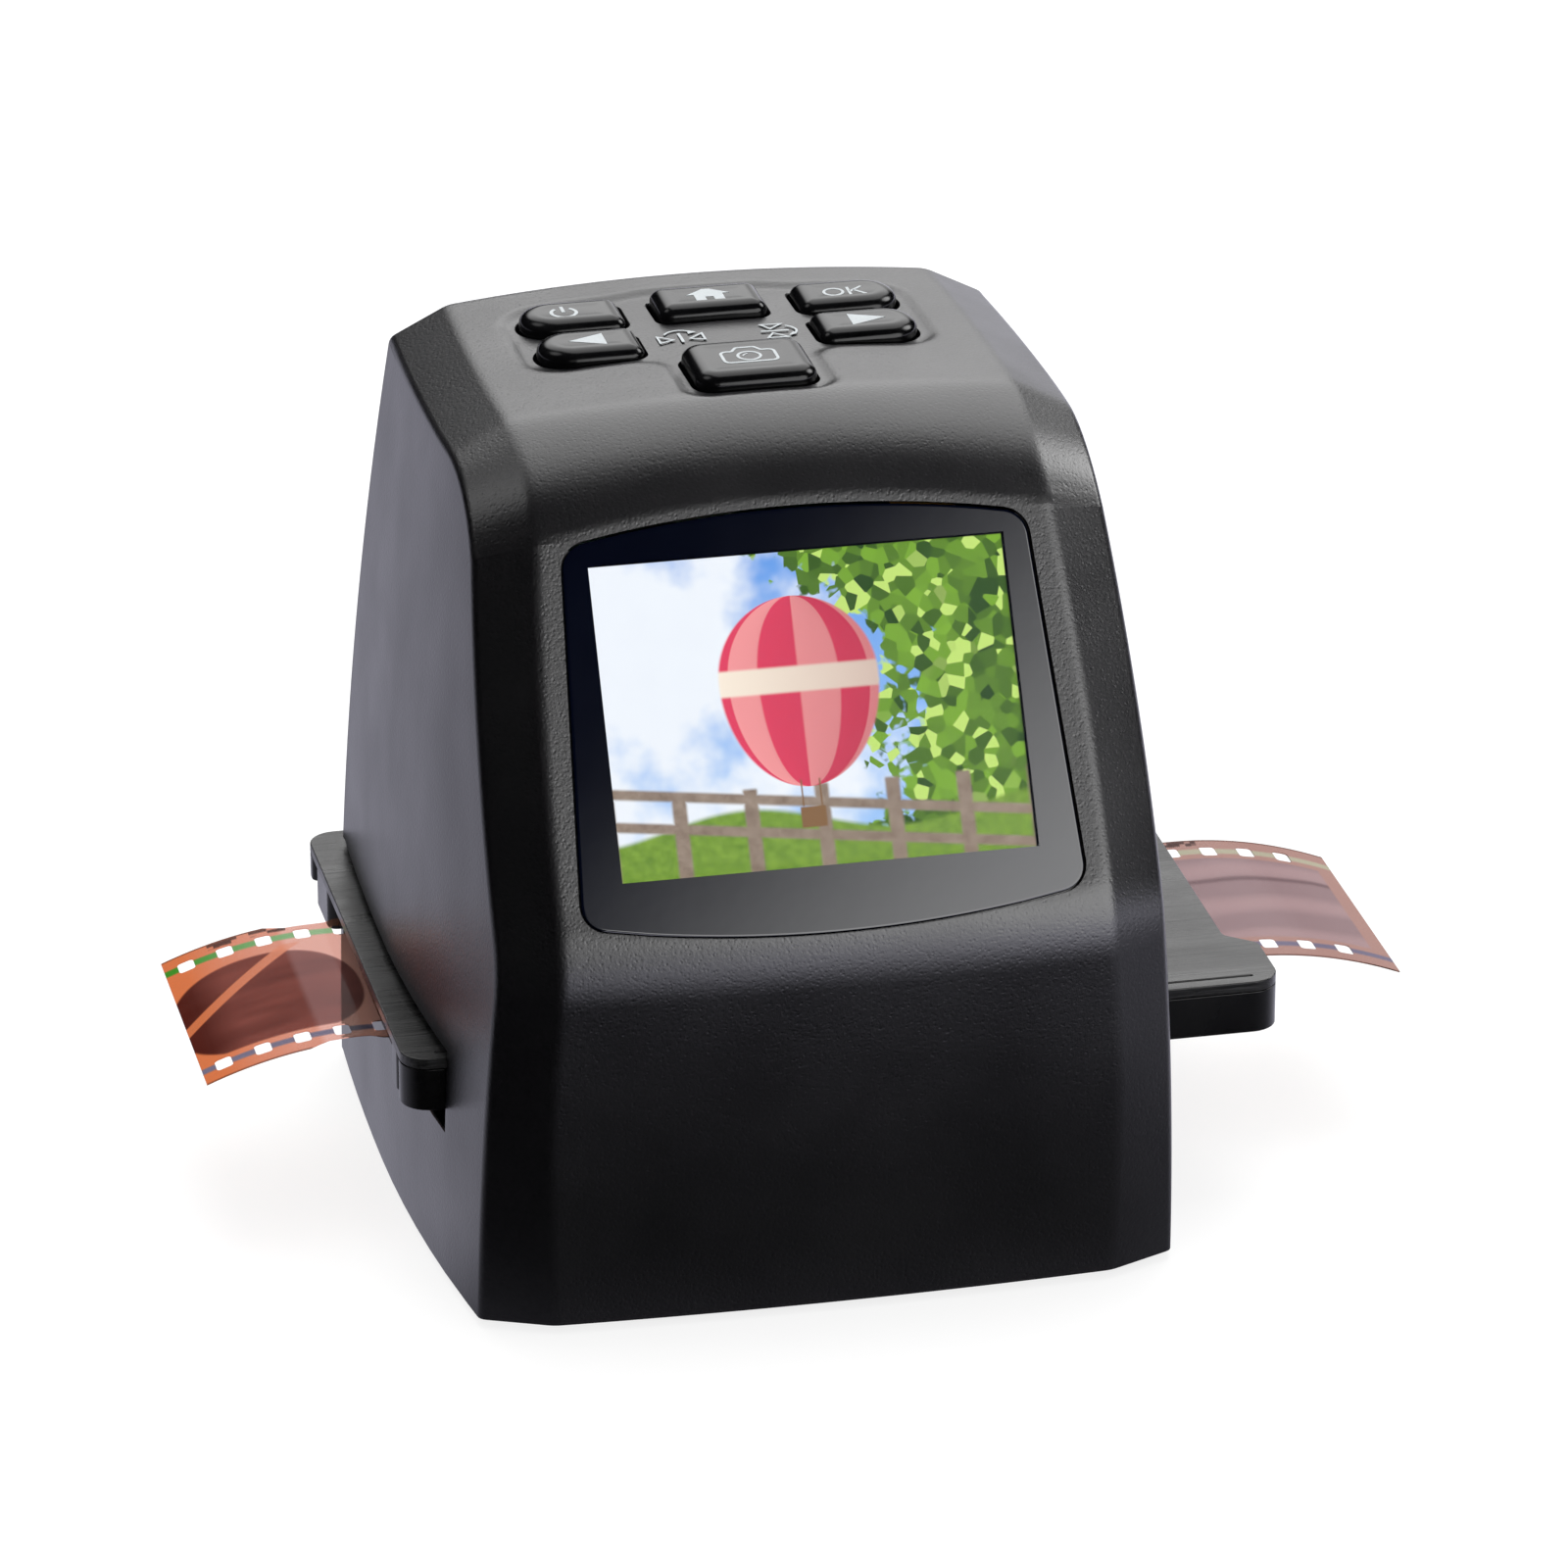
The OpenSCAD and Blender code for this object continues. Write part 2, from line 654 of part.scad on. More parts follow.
// The card socket has this share of the free width at its left, beside the board's screw
sd_share = 0.29;
sd_free = usb_x - usb_size[0] / 2 + main_hole_x - screw_head_r - sd_size[0];
sd_x = screw_head_r - main_hole_x + sd_share * sd_free + sd_size[0] / 2;

module rear_cover() {
    color([0.14, 0.14, 0.15]) difference() {
        union() {
            difference() {
                rear_form(0, split_y);
                rear_form(wall, split_y - 1);
            }
            for (p = rear_screw_points) translate([p[0], split_y, p[1]]) rotate([-90, 0, 0])
                cylinder(r = boss_r, h = rear_depth - wall + 0.5);
        }
        tray_slot(tray_rear + tray_gap + 0.3);
        for (p = rear_screw_points) translate([p[0], split_y - 1, p[1]]) rotate([-90, 0, 0]) {
            cylinder(r = screw_r + screw_gap, h = rear_depth + 2);
            translate([0, 0, rear_depth + 1 - screw_head_h - 0.3])
                cylinder(r = screw_head_r + 0.1, h = 4);
        }
        socket_mouth(usb_x, usb_size);
        socket_mouth(sd_x, sd_size);
        translate([jack_x, split_y + 1, main_top + jack_r]) rotate([-90, 0, 0])
            cylinder(r = jack_r + 0.2, h = 12);
    }
}

// Opening in the rear cover for a socket of a given size
module socket_mouth(x, size) {
    block([x - size[0] / 2 - 0.2, split_y + 1, main_top - 0.2],
        [x + size[0] / 2 + 0.2, rear_y + 2, main_top + size[2] + 0.2]);
}

// ---- base ----

module base_plate() {
    edge = [for (p = row(0, wall + base_gap)) [p[0], min(p[1], split_y - base_gap)]];
    color([0.12, 0.12, 0.13]) difference() {
        union() {
            linear_extrude(base_t) polygon(edge);
            for (p = guide_points)
                translate([p[0], p[1], 0]) cylinder(r = boss_r, h = floor_z - guide_t);
            both_sides() block([box_l / 2 + box_wall + clear, film_y - 10, 0],
                [box_l / 2 + box_wall + clear + 1.5, film_y + 10, base_t + 4]);
        }
        for (p = fix_points) translate([p[0], p[1], -1]) {
            cylinder(r = screw_r + screw_gap, h = base_t + 2);
            cylinder(r = screw_head_r + 0.1, h = 1 + screw_head_h);
        }
        for (p = foot_points)
            translate([p[0], p[1], -1]) cylinder(r = foot_r + fine, h = 1 + foot_seat);
        for (p = guide_points) translate([p[0], p[1], floor_z - guide_t - 6])
            cylinder(r = screw_r + screw_gap, h = 8);
    }
}

module rubber_feet() {
    color([0.05, 0.05, 0.05]) for (p = foot_points) translate([p[0], p[1], -foot_h]) {
        cylinder(r1 = foot_r - 0.5, r2 = foot_r, h = 0.5);
        translate([0, 0, 0.5]) cylinder(r = foot_r, h = foot_h + foot_seat - 0.5);
    }
}

module base_screws() {
    color("silver") for (p = fix_points) translate([p[0], p[1], 0]) mirror([0, 0, 1]) screw(9);
}

module rear_screws() {
    color("silver") for (p = rear_screw_points)
        translate([p[0], rear_y - 0.3, p[1]]) rotate([-90, 0, 0]) screw(rear_depth + 6);
}

// ---- screen ----

module screen_window() {
    color([0.03, 0.03, 0.06]) at_screen()
        translate([0, 0, window_back]) linear_extrude(window_t) window_outline(0);
}

module lcd_panel() {
    color([0.3, 0.45, 0.6]) at_screen()
        block([-glass_w / 2, -glass_h / 2, lcd_back], [glass_w / 2, glass_h / 2, lcd_face]);
}

// Pressed frame that holds the display against the ledge, with four ears
frame_t = 1.2;
ear_x = 27.9;
lcd_screw_reach = 1.6;
lcd_screw_points = [for (x = [-ear_x, ear_x], y = [-15, 15]) [x, y]];

module lcd_frame() {
    low = ledge_back - frame_t;
    color([0.6, 0.6, 0.62]) at_screen() difference() {
        union() {
            block([-glass_w / 2 - 0.5, -glass_h / 2 - 0.5, low],
                [glass_w / 2 + 0.5, glass_h / 2 + 0.5, ledge_back]);
            for (p = lcd_screw_points)
                block([min(p[0] - 1.7, 0), p[1] - 3, low], [max(p[0] + 1.7, 0), p[1] + 3, ledge_back]);
        }
        block([-glass_w / 2 + 3, -glass_h / 2 + 3, low - 1],
            [glass_w / 2 - 3, glass_h / 2 - 3, ledge_back + 1]);
        for (p = lcd_screw_points)
            translate([p[0], p[1], low - 1]) cylinder(r = 0.7 + screw_gap, h = frame_t + 2);
    }
}

module lcd_screws() {
    color("silver") at_screen() for (p = lcd_screw_points)
        translate([p[0], p[1], ledge_back - frame_t - 0.8]) {
            cylinder(r = 1.3, h = 0.8);
            cylinder(r = 0.7, h = 0.8 + frame_t + lcd_screw_reach - 0.2);
        }
}

// ---- buttons ----

// Height of the top's skin at a place, with its slope and crown
function skin_z(x, y) =
    top_z - max(0, y) * top_drop / split_y
    + top_crown * (1 - x * x / top_face_half / top_face_half);

key_ledge_z = board_z + board_t + 7.2;
post_r = 1.6;

// A button: rounded cap, a ledge under the top and a post over its switch
module button(at, w, d) {
    cap_z = skin_z(abs(at[0]) + w / 2 - 3, at[1]) + key_rise;
    hull() {
        translate([at[0], at[1], key_ledge_z]) linear_extrude(cap_z - key_ledge_z - 0.9)
            children(0);
        translate([at[0], at[1], cap_z - 0.9]) linear_extrude(0.9) offset(delta = -0.9) children(0);
    }
    translate([at[0], at[1], key_ledge_z - key_ledge])
        linear_extrude(key_ledge) square([w + 0.6, d + 0.6], center = true);
    translate([at[0], at[1], key_ledge_z - key_ledge - 1]) cylinder(r = post_r, h = 1.5);
}

key_color = [0.07, 0.07, 0.08];
module power_button() { color(key_color) button(power_at, key_w, key_d) power_shape(0); }
module home_button() { color(key_color) button(home_at, home_w, key_d) home_shape(0); }
module ok_button() { color(key_color) button(ok_at, key_w, key_d) ok_shape(0); }
module left_button() { color(key_color) button(left_at, key_w, key_d) power_shape(0); }
module right_button() { color(key_color) button(right_at, key_w, key_d) ok_shape(0); }
module capture_button() {
    color(key_color) button(capture_at, capture_w, capture_d) capture_shape(0);
}

module button_board() {
    color([0.05, 0.3, 0.15]) difference() {
        block([-keys_half, key_post_points[0][1] - 4, board_z],
            [keys_half, key_post_points[1][1] + 2.5, board_z + board_t]);
        for (p = key_post_points)
            translate([p[0], p[1], board_z - 1]) cylinder(r = screw_r + screw_gap, h = board_t + 2);
    }
}

switch_top = key_ledge_z - key_ledge - 1 - travel - 0.1;
module tact_switches() {
    for (p = key_points) translate([p[0], p[1], board_z + board_t]) {
        color([0.2, 0.2, 0.2])
            translate([-3, -3, 0]) cube([6, 6, switch_top - board_z - board_t - 1.4]);
        color("silver") cylinder(r = 1.7, h = switch_top - board_z - board_t);
    }
}

module button_board_screws() {
    color("silver") for (p = key_post_points)
        translate([p[0], p[1], board_z - screw_head_h]) mirror([0, 0, 1]) screw(7);
}

// ---- main board ----

module main_board() {
    color([0.05, 0.3, 0.15]) difference() {
        block([-main_half, -main_front, main_z], [main_half, main_rear, main_top]);
        for (y = main_shelf_y) both_sides() translate([main_hole_x, y, main_z - 1])
            cylinder(r = screw_r + screw_gap, h = board_t + 2);
    }
}

module main_board_screws() {
    color("silver") for (y = main_shelf_y) both_sides()
        translate([main_hole_x, y, main_top + screw_head_h]) screw(screw_head_h + board_t + 2.5);
}

module processor_chips() {
    color([0.1, 0.1, 0.1]) {
        block([-16, 0, main_top], [-4, 11, main_top + 1.2]);
        block([2, 1, main_top], [11, 9, main_top + 1]);
    }
}

module usb_socket() {
    color("silver") difference() {
        block([usb_x - usb_size[0] / 2, mouth_y - usb_size[1], main_top],
            [usb_x + usb_size[0] / 2, mouth_y, main_top + usb_size[2]]);
        block([usb_x - usb_size[0] / 2 + 0.4, mouth_y - usb_size[1] + 1, main_top + 0.4],
            [usb_x + usb_size[0] / 2 - 0.4, mouth_y + 1, main_top + usb_size[2] - 0.4]);
    }
    color([0.1, 0.1, 0.1]) block([usb_x - 2.6, mouth_y - usb_size[1] + 0.5, main_top + 1.5],
        [usb_x + 2.6, mouth_y - 1.5, main_top + 2.3]);
}

module sd_card_socket() {
    color("silver") difference() {
        block([sd_x - sd_size[0] / 2, mouth_y - sd_size[1], main_top],
            [sd_x + sd_size[0] / 2, mouth_y, main_top + sd_size[2]]);
        block([sd_x - sd_size[0] / 2 + 0.3, mouth_y - sd_size[1] + 2, main_top + 0.3],
            [sd_x + sd_size[0] / 2 - 0.3, mouth_y + 1, main_top + sd_size[2] - 0.3]);
    }
}

module tv_out_jack() {
    color([0.1, 0.1, 0.1]) difference() {
        union() {
            block([jack_x - jack_r, main_rear - 11, main_top],
                [jack_x + jack_r, main_rear, main_top + 2 * jack_r]);
            translate([jack_x, main_rear - 1, main_top + jack_r]) rotate([-90, 0, 0])
                cylinder(r = jack_r, h = mouth_y - main_rear + 1);
        }
        translate([jack_x, main_rear - 9, main_top + jack_r]) rotate([-90, 0, 0])
            cylinder(r = 1.8, h = 20);
    }
}

// ---- tray guides and light ----

guide_screw_x = guide_half - 6.6;
guide_screw_step = 7;
guide_points = [for (y = [-19, 33], side = [-1, 1])
    [side * (guide_screw_x - (y > 0 ? guide_screw_step : 0)), y]];
fence_in = tray_front + tray_gap;
fence_back = tray_rear + tray_gap;
fence_t = 0.8;
rail_h = tray_z - tray_gap - floor_z;
rail_front = film_y - channel_half - 2;
rail_rear = film_y + channel_half + 2;
opening_half = [box_l / 2, box_w / 2];
diffuser_up = 0.6;

module lower_guide() {
    low = floor_z - guide_t;
    color([0.1, 0.1, 0.1]) difference() {
        union() {
            block([-guide_half, -fence_in - fence_t, low], [guide_half, fence_back + fence_t, floor_z]);
            block([-guide_half, -fence_in - fence_t, low],
                [guide_half, rail_front, floor_z + rail_h]);
            block([-guide_half, rail_rear, low],
                [guide_half, fence_back + fence_t, floor_z + rail_h]);
            block([-guide_half, -fence_in - fence_t, low], [guide_half, -fence_in, tray_z + 3]);
            block([-guide_half, fence_back, low], [guide_half, fence_back + fence_t, tray_z + 3]);
        }
        block([-opening_half[0] + 1, film_y - opening_half[1] + 1, low - 1],
            [opening_half[0] - 1, film_y + opening_half[1] - 1, floor_z + 1]);
        block([-opening_half[0] - clear, film_y - opening_half[1] - clear, low - 1],
            [opening_half[0] + clear, film_y + opening_half[1] + clear, low + diffuser_up]);
        for (p = guide_points) translate([p[0], p[1], low - 1]) {
            cylinder(r = screw_r + screw_gap, h = guide_t + rail_h + 2);
            translate([0, 0, 1 + guide_t + rail_h - screw_head_h - 0.3])
                cylinder(r = screw_head_r + 0.1, h = screw_head_h + 2);
        }
        block([spring_x - spring_half - 1, -fence_in - fence_t - 1, floor_z + rail_h],
            [spring_x + spring_half + 1, -fence_in + 0.5, tray_z + 4]);
    }
}

module lower_guide_screws() {
    color("silver") for (p = guide_points)
        translate([p[0], p[1], floor_z + rail_h - 0.3]) screw(9);
}

// Leaf spring in the front fence that steadies the tray's front edge
spring_x = 16;
spring_half = 9;
spring_t = 0.3;
spring_rise = 1.4;
module brake_spring() {
    bow = corner([-spring_half, 0], [0, 2 * spring_rise], [spring_half, 0], 28, 10);
    path = concat([[-spring_half - 0.9, 0]], bow, [[spring_half + 0.9, 0]]);
    color("silver") translate([spring_x, -fence_in - spring_rise - spring_t, floor_z + rail_h])
        linear_extrude(4) polygon(concat(path,
            [for (i = [len(path) - 1:-1:0]) path[i] - [0, spring_t]]));
}

module light_box() {
    outer = [box_l / 2 + box_wall, box_w / 2 + box_wall];
    top = floor_z - guide_t;
    color("white") difference() {
        block([-outer[0], film_y - outer[1], base_t], [outer[0], film_y + outer[1], top]);
        block([-box_l / 2, film_y - box_w / 2, base_t + 1.2],
            [box_l / 2, film_y + box_w / 2, top + 1]);
        block([-6, film_y - outer[1] - 1, base_t + 3.4], [-2, film_y - box_w / 2 + 1, base_t + 5.4]);
    }
}

led_board_z = base_t + 1.2;
module led_board() {
    color("white") block([-box_l / 2 + clear, film_y - box_w / 2 + clear, led_board_z],
        [box_l / 2 - clear, film_y + box_w / 2 - clear, led_board_z + 1]);
}

module leds() {
    color([1, 0.95, 0.7]) for (x = [-13.5:9:13.5], y = [-8, 0, 8])
        block([x - 1.4, film_y + y - 1.4, led_board_z + 1],
            [x + 1.4, film_y + y + 1.4, led_board_z + 1.9]);
}

module diffuser() {
    color([0.95, 0.95, 0.95])
        block([-box_l / 2, film_y - box_w / 2, floor_z - guide_t + diffuser_up - diffuser_t],
            [box_l / 2, film_y + box_w / 2, floor_z - guide_t + diffuser_up]);
}

module upper_guide() {
    color([0.1, 0.1, 0.1]) difference() {
        block([-guide_half, guide_shelf_y[0] - 4, upper_z],
            [guide_half, guide_shelf_y[1] + 4, guide_shelf_z]);
        block([-gate_l / 2 - 1, film_y - gate_w / 2 - 1, upper_z - 1],
            [gate_l / 2 + 1, film_y + gate_w / 2 + 1, guide_shelf_z + 1]);
        for (y = guide_shelf_y) both_sides() translate([guide_hole_x, y, upper_z - 1])
            cylinder(r = screw_r + screw_gap, h = 10);
    }
}

module upper_guide_screws() {
    color("silver") for (y = guide_shelf_y) both_sides()
        translate([guide_hole_x, y, guide_shelf_z + shelf_h + screw_head_h])
            screw(screw_head_h + shelf_h + guide_t - 0.2);
}

// ---- optics ----

tunnel_in = [gate_l / 2 + 1, gate_w / 2 + 1];
tunnel_out = [tunnel_in[0] + box_wall, tunnel_in[1] + box_wall];
holder_t = 2;
sensor_z = main_z - sensor_gap - board_t;
holder_z = sensor_z - sensor_rise - holder_t;
module light_tunnel() {
    color([0.08, 0.08, 0.08]) difference() {
        block([-tunnel_out[0], film_y - tunnel_out[1], guide_shelf_z],
            [tunnel_out[0], film_y + tunnel_out[1], holder_z]);
        block([-tunnel_in[0], film_y - tunnel_in[1], guide_shelf_z - 1],
            [tunnel_in[0], film_y + tunnel_in[1], holder_z + 1]);
    }
}

post_half = [15, 11];
module lens_holder() {
    color([0.1, 0.1, 0.1]) difference() {
        union() {
            block([-tunnel_out[0], film_y - tunnel_out[1], holder_z],
                [tunnel_out[0], film_y + tunnel_out[1], holder_z + holder_t]);
            translate([0, film_y, holder_z - 6]) cylinder(r = lens_r + 2, h = 8);
            for (x = [-1, 1], y = [-1, 1])
                translate([x * post_half[0], film_y + y * post_half[1], holder_z + holder_t])
                    cylinder(r = 1.8, h = sensor_rise);
        }
        translate([0, film_y, holder_z - 10]) cylinder(r = lens_r + fine, h = 20);
    }
}

lens_low = holder_z + holder_t + 2 - lens_l;
module lens_barrel() {
    color([0.06, 0.06, 0.06]) difference() {
        translate([0, film_y, lens_low]) cylinder(r = lens_r, h = lens_l);
        translate([0, film_y, lens_low - 1]) cylinder(r = lens_r - 1.5, h = lens_l + 2);
    }
}

module lens_glass() {
    color([0.7, 0.8, 0.9, 0.5]) for (z = [1, lens_l / 2, lens_l - 3])
        translate([0, film_y, lens_low + z]) cylinder(r = lens_r - 1.5, h = 2);
}

module sensor_board() {
    color([0.05, 0.3, 0.15])
        block([-17, film_y - 13, sensor_z], [17, film_y + 13, sensor_z + board_t]);
}

module image_sensor() {
    color([0.2, 0.2, 0.25]) block([-6, film_y - 6, sensor_z - 1.2], [6, film_y + 6, sensor_z]);
}

// ---- internal leads ----

// Flat flexible lead along a path in the side view, between two places across
module flat_lead(path, x0, x1, t = 0.3) {
    back = [for (i = [len(path) - 1:-1:0]) path[i] + [0, t]];
    translate([x0, 0, 0]) rotate([90, 0, 90]) linear_extrude(x1 - x0) polygon(concat(path, back));
}

module screen_ribbon() {
    start = screen_point(-14, lcd_back - 0.16);
    color([0.8, 0.5, 0.2]) flat_lead([start, start + [4, 1.5], [-main_front - 9, main_top - 4],
        [-main_front - 2, main_top], [1 - main_front, main_top]], 10, 22);
}

module button_ribbon() {
    color([0.8, 0.5, 0.2])
        block([keys_half - 12.2, 8, main_top], [keys_half - 4.2, 8.3, board_z]);
}

module sensor_ribbon() {
    color([0.8, 0.5, 0.2]) block([-5, film_y + 9, sensor_z + board_t], [5, film_y + 9.3, main_z]);
}

// Round lead from the light box to the main board, in front of the tray
lead_r = 0.7;
module backlight_lead() {
    color([0.8, 0.1, 0.1]) tube([
        [-4, film_y - box_w / 2 + 1, base_t + 4.4], [-4, -14, base_t + 4.4], [-9, -22, 7],
        [-22, -27, 9], [-31, -27.5, 12], [-34, -29, slot_low - 1.4], [-34, -29, slot_top + 3.5],
        [-31, -26, main_z - 33], [-27, -15, main_z - 17], [-24, -4, main_z - 8],
        [-24, 1, main_z - 3], [-24, 1, main_z]
    ], lead_r);
}

// ---- film tray ----

plate_z = tray_top - plate_t;
film_low = film_z - film_t / 2;
film_front = film_y - film_w / 2;
mouth = [film_y - channel_half, film_y + channel_half];

// Right end of the tray seen from above, from front to rear, with a step beside the film
step_y = mouth[0] - 2.8;
tray_end = [
    [tray_right, -tray_front], [tray_right, step_y - 2],
    [tray_right - tray_step, step_y + 1], [tray_right - tray_step, tray_rear]
];
tray_end_radii = [tray_corner_r, 1.5, 1.5, tray_corner_r];

module plate_outline() {
    polygon(rounded(
        concat([[-tray_left, -tray_front]], tray_end, [[-tray_left, tray_rear]]),
        concat([tray_corner_r], tray_end_radii, [tray_corner_r])));
}

// The frame's left end has a post at each corner and a lobe on each side of the film's mouth
post_w = 5;
post_set = 1.7;
post_lift = 2.2;
lobe_gap = 0.8;
lobe_x = 0.2 - tray_left;
rear_lobe = [tray_rear - post_w - lobe_gap - 9, tray_rear - post_w - lobe_gap];
front_lobe = [post_w + lobe_gap - tray_front, post_w + lobe_gap + 4.6 - tray_front];
module frame_outline() {
    back_x = post_set - tray_left;
    end = [
        [-tray_left, tray_rear], [-tray_left, tray_rear - post_w], [back_x, tray_rear - post_w],
        [back_x, rear_lobe[1]], [lobe_x, rear_lobe[1]], [lobe_x, rear_lobe[0]], [back_x, rear_lobe[0]],
        [back_x, front_lobe[1]], [lobe_x, front_lobe[1]], [lobe_x, front_lobe[0]],
        [back_x, front_lobe[0]], [back_x, post_w - tray_front],
        [-tray_left, post_w - tray_front], [-tray_left, -tray_front]
    ];
    lobe_r = 1.2;
    radii = [tray_corner_r, 1, 0, 0, lobe_r, lobe_r, 0, 0, lobe_r, lobe_r, 0, 0, 1, tray_corner_r];
    polygon(rounded(concat(tray_end, end), concat(tray_end_radii, radii)));
}

module gate_cut(low, high) {
    block([-gate_l / 2, film_y - gate_w / 2, low], [gate_l / 2, film_y + gate_w / 2, high]);
}

module tray_frame() {
    color([0.1, 0.1, 0.1]) difference() {
        translate([0, 0, tray_z]) linear_extrude(plate_z - tray_z) frame_outline();
        for (side = [-1, 1]) {
            x = [side * gate_half, side * 70];
            block([min(x), mouth[0], tray_z - 1], [max(x), mouth[1], plate_z + 1]);
        }
        block([-gate_half - 1, mouth[0], film_low - film_t], [gate_half + 1, mouth[1], plate_z + 1]);
        gate_cut(tray_z - 1, plate_z + 1);
        block([-tray_left - 1, tray_rear - post_w - lobe_gap / 2, tray_z - 1],
            [post_set - tray_left, tray_rear + 1, tray_z + post_lift]);
        for (p = tray_pin_points)
            translate([p[0], p[1], plate_z - 2.2]) cylinder(r = 1 + fine, h = 3);
    }
}

// Pins of the top plate that snap into the frame
tray_pin_points = [for (x = [-36, 0, 36], y = [6 - tray_front, tray_rear - 6]) [x, y]];

module tray_top_plate() {
    color([0.12, 0.12, 0.12]) {
        difference() {
            union() {
                translate([0, 0, plate_z]) linear_extrude(plate_t) plate_outline();
                block([-gate_half, mouth[0] + clear, film_low + film_t + 0.2],
                    [gate_half, mouth[1] - clear, plate_z + 0.1]);
                for (p = tray_pin_points)
                    translate([p[0], p[1], plate_z - 2]) cylinder(r = 1, h = 2.1);
            }
            gate_cut(tray_z, tray_top + 1);
        }
    }
}

// Height of the film at a place along it: flat in the tray, drooping past its ends
film_flat = [-tray_left - 1.5, tray_right];
film_free = [film_left + film_flat[0], film_right - film_flat[1]];
function film_height(x) =
    let (past = max((film_flat[0] - x) / film_free[0], (x - film_flat[1]) / film_free[1], 0))
    film_z - film_droop * past * past;

module film_strip() {
    xs = concat([for (k = [0:6]) -film_left + k * film_free[0] / 6],
        [for (k = [0:6]) film_flat[1] + k * film_free[1] / 6]);
    path = [for (x = xs) [x, film_height(x) - film_t / 2]];
    sheet = concat(path, [for (i = [len(path) - 1:-1:0]) path[i] + [0, film_t]]);
    count = floor((film_left + film_right - 2) / perf_pitch);
    color([0.6, 0.3, 0.15]) difference() {
        translate([0, film_front + film_w, 0]) rotate([90, 0, 0])
            linear_extrude(film_w) polygon(sheet);
        for (k = [0:count - 1], side = [-1, 1])
            translate([-film_left + 1.6 + k * perf_pitch,
                film_y + side * (film_w / 2 - perf_edge - perf_w / 2) - perf_w / 2, film_z - 10])
                cube([perf_l, perf_w, 20]);
    }
}

front_housing();
rear_cover();
base_plate();
rubber_feet();
base_screws();
rear_screws();
screen_window();
lcd_panel();
lcd_frame();
lcd_screws();
power_button();
home_button();
ok_button();
left_button();
right_button();
capture_button();
button_board();
tact_switches();
button_board_screws();
main_board();
processor_chips();
usb_socket();
sd_card_socket();
tv_out_jack();
main_board_screws();
lower_guide();
upper_guide();
lower_guide_screws();
upper_guide_screws();
brake_spring();
light_box();
led_board();
leds();
diffuser();
light_tunnel();
lens_holder();
lens_barrel();
lens_glass();
sensor_board();
image_sensor();
screen_ribbon();
button_ribbon();
sensor_ribbon();
backlight_lead();
tray_frame();
tray_top_plate();
film_strip();
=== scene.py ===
import math

import bmesh
import bpy
from mathutils import Matrix, Vector


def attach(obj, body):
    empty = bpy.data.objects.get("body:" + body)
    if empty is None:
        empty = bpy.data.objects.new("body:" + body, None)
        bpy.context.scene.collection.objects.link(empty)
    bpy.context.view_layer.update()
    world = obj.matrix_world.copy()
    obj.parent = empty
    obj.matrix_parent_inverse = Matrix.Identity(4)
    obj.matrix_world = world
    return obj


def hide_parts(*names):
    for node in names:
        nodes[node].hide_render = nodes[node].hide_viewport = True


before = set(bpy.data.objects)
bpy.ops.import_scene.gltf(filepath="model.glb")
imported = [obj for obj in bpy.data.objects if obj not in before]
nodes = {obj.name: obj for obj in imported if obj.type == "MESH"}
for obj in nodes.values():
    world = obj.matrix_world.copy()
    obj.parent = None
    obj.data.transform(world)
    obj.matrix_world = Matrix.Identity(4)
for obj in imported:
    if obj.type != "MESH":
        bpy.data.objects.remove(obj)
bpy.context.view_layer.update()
scene = bpy.context.scene

# All sizes below are in millimetres, with the names that the CAD source gives them.
MM = 0.001
WALL = 2.2
SIDE_HALF, SIDE_RISE_R, SIDE_BOW_R, SIDE_TAIL_R, WIDEST_Y = 45.2, 568, 294, 595, 7
FRONT_CROWN, TOP_CROWN = 1.0, 1.7
CHAMFER_W, CHAMFER_FOOT_W, CHAMFER_D = 7.1, 8.2, 3.6
TOP_Z, TOP_DROP, SPLIT_Y, REAR_DEPTH, REAR_SLOPE = 98.1, 1.1, 38.0, 8.8, 4.0
REAR_Y = SPLIT_Y + REAR_DEPTH
FRONT_FOOT, CHIN, BROW, CREST = (-42.0, 0.0), (-44.6, 46.5), (-20.8, 89.2), (-12.9, TOP_Z)
TOP_TAIL = (SPLIT_Y, TOP_Z - TOP_DROP)
CHIN_R, BROW_R, CREST_R = 18, 3, 23
SCREEN_Y, SCREEN_Z, SCREEN_TILT = 29.6, 70.0, math.radians(30.5)
PICTURE_W, PICTURE_H, GLASS_RIM, LCD_GAP = 48.96, 36.72, 1.0, 0.2
WINDOW_TOP_HALF, WINDOW_FOOT_HALF, WINDOW_UP, WINDOW_DOWN = 27.5, 29.4, 23.3, 26.3
WINDOW_ARCH_R, WINDOW_SAG_R, WINDOW_CORNER_R = 142, 155, 3.2
WINDOW_FACE, WINDOW_BACK, WINDOW_GAP = 1.1, 0.1, 0.25
KEY_W, KEY_D, HOME_W, CAPTURE_W, CAPTURE_D = 12.4, 8.4, 13.2, 14.6, 12.4
KEY_X, REAR_ROW_Y, ROW_PITCH, CAPTURE_Y = 16.8, 27.1, 10.9, 4.2
KEY_GAP, KEY_CORNER_R, KEY_RISE, RECESS_D, RECESS_RIM = 0.35, 1.6, 1.3, 0.5, 2.4
KEY_ROUND = KEY_D / 2 - 0.1
FRONT_ROW_Y = REAR_ROW_Y - ROW_PITCH
FILM_W, FILM_T, FILM_Y, FILM_Z = 35.0, 0.16, 8.9, 23.2
FILM_LEFT, FILM_RIGHT, FILM_DROOP = 68.5, 78.0, 4.0
PERF_PITCH, PERF_L, PERF_W, PERF_EDGE = 4.75, 1.98, 2.79, 2.0
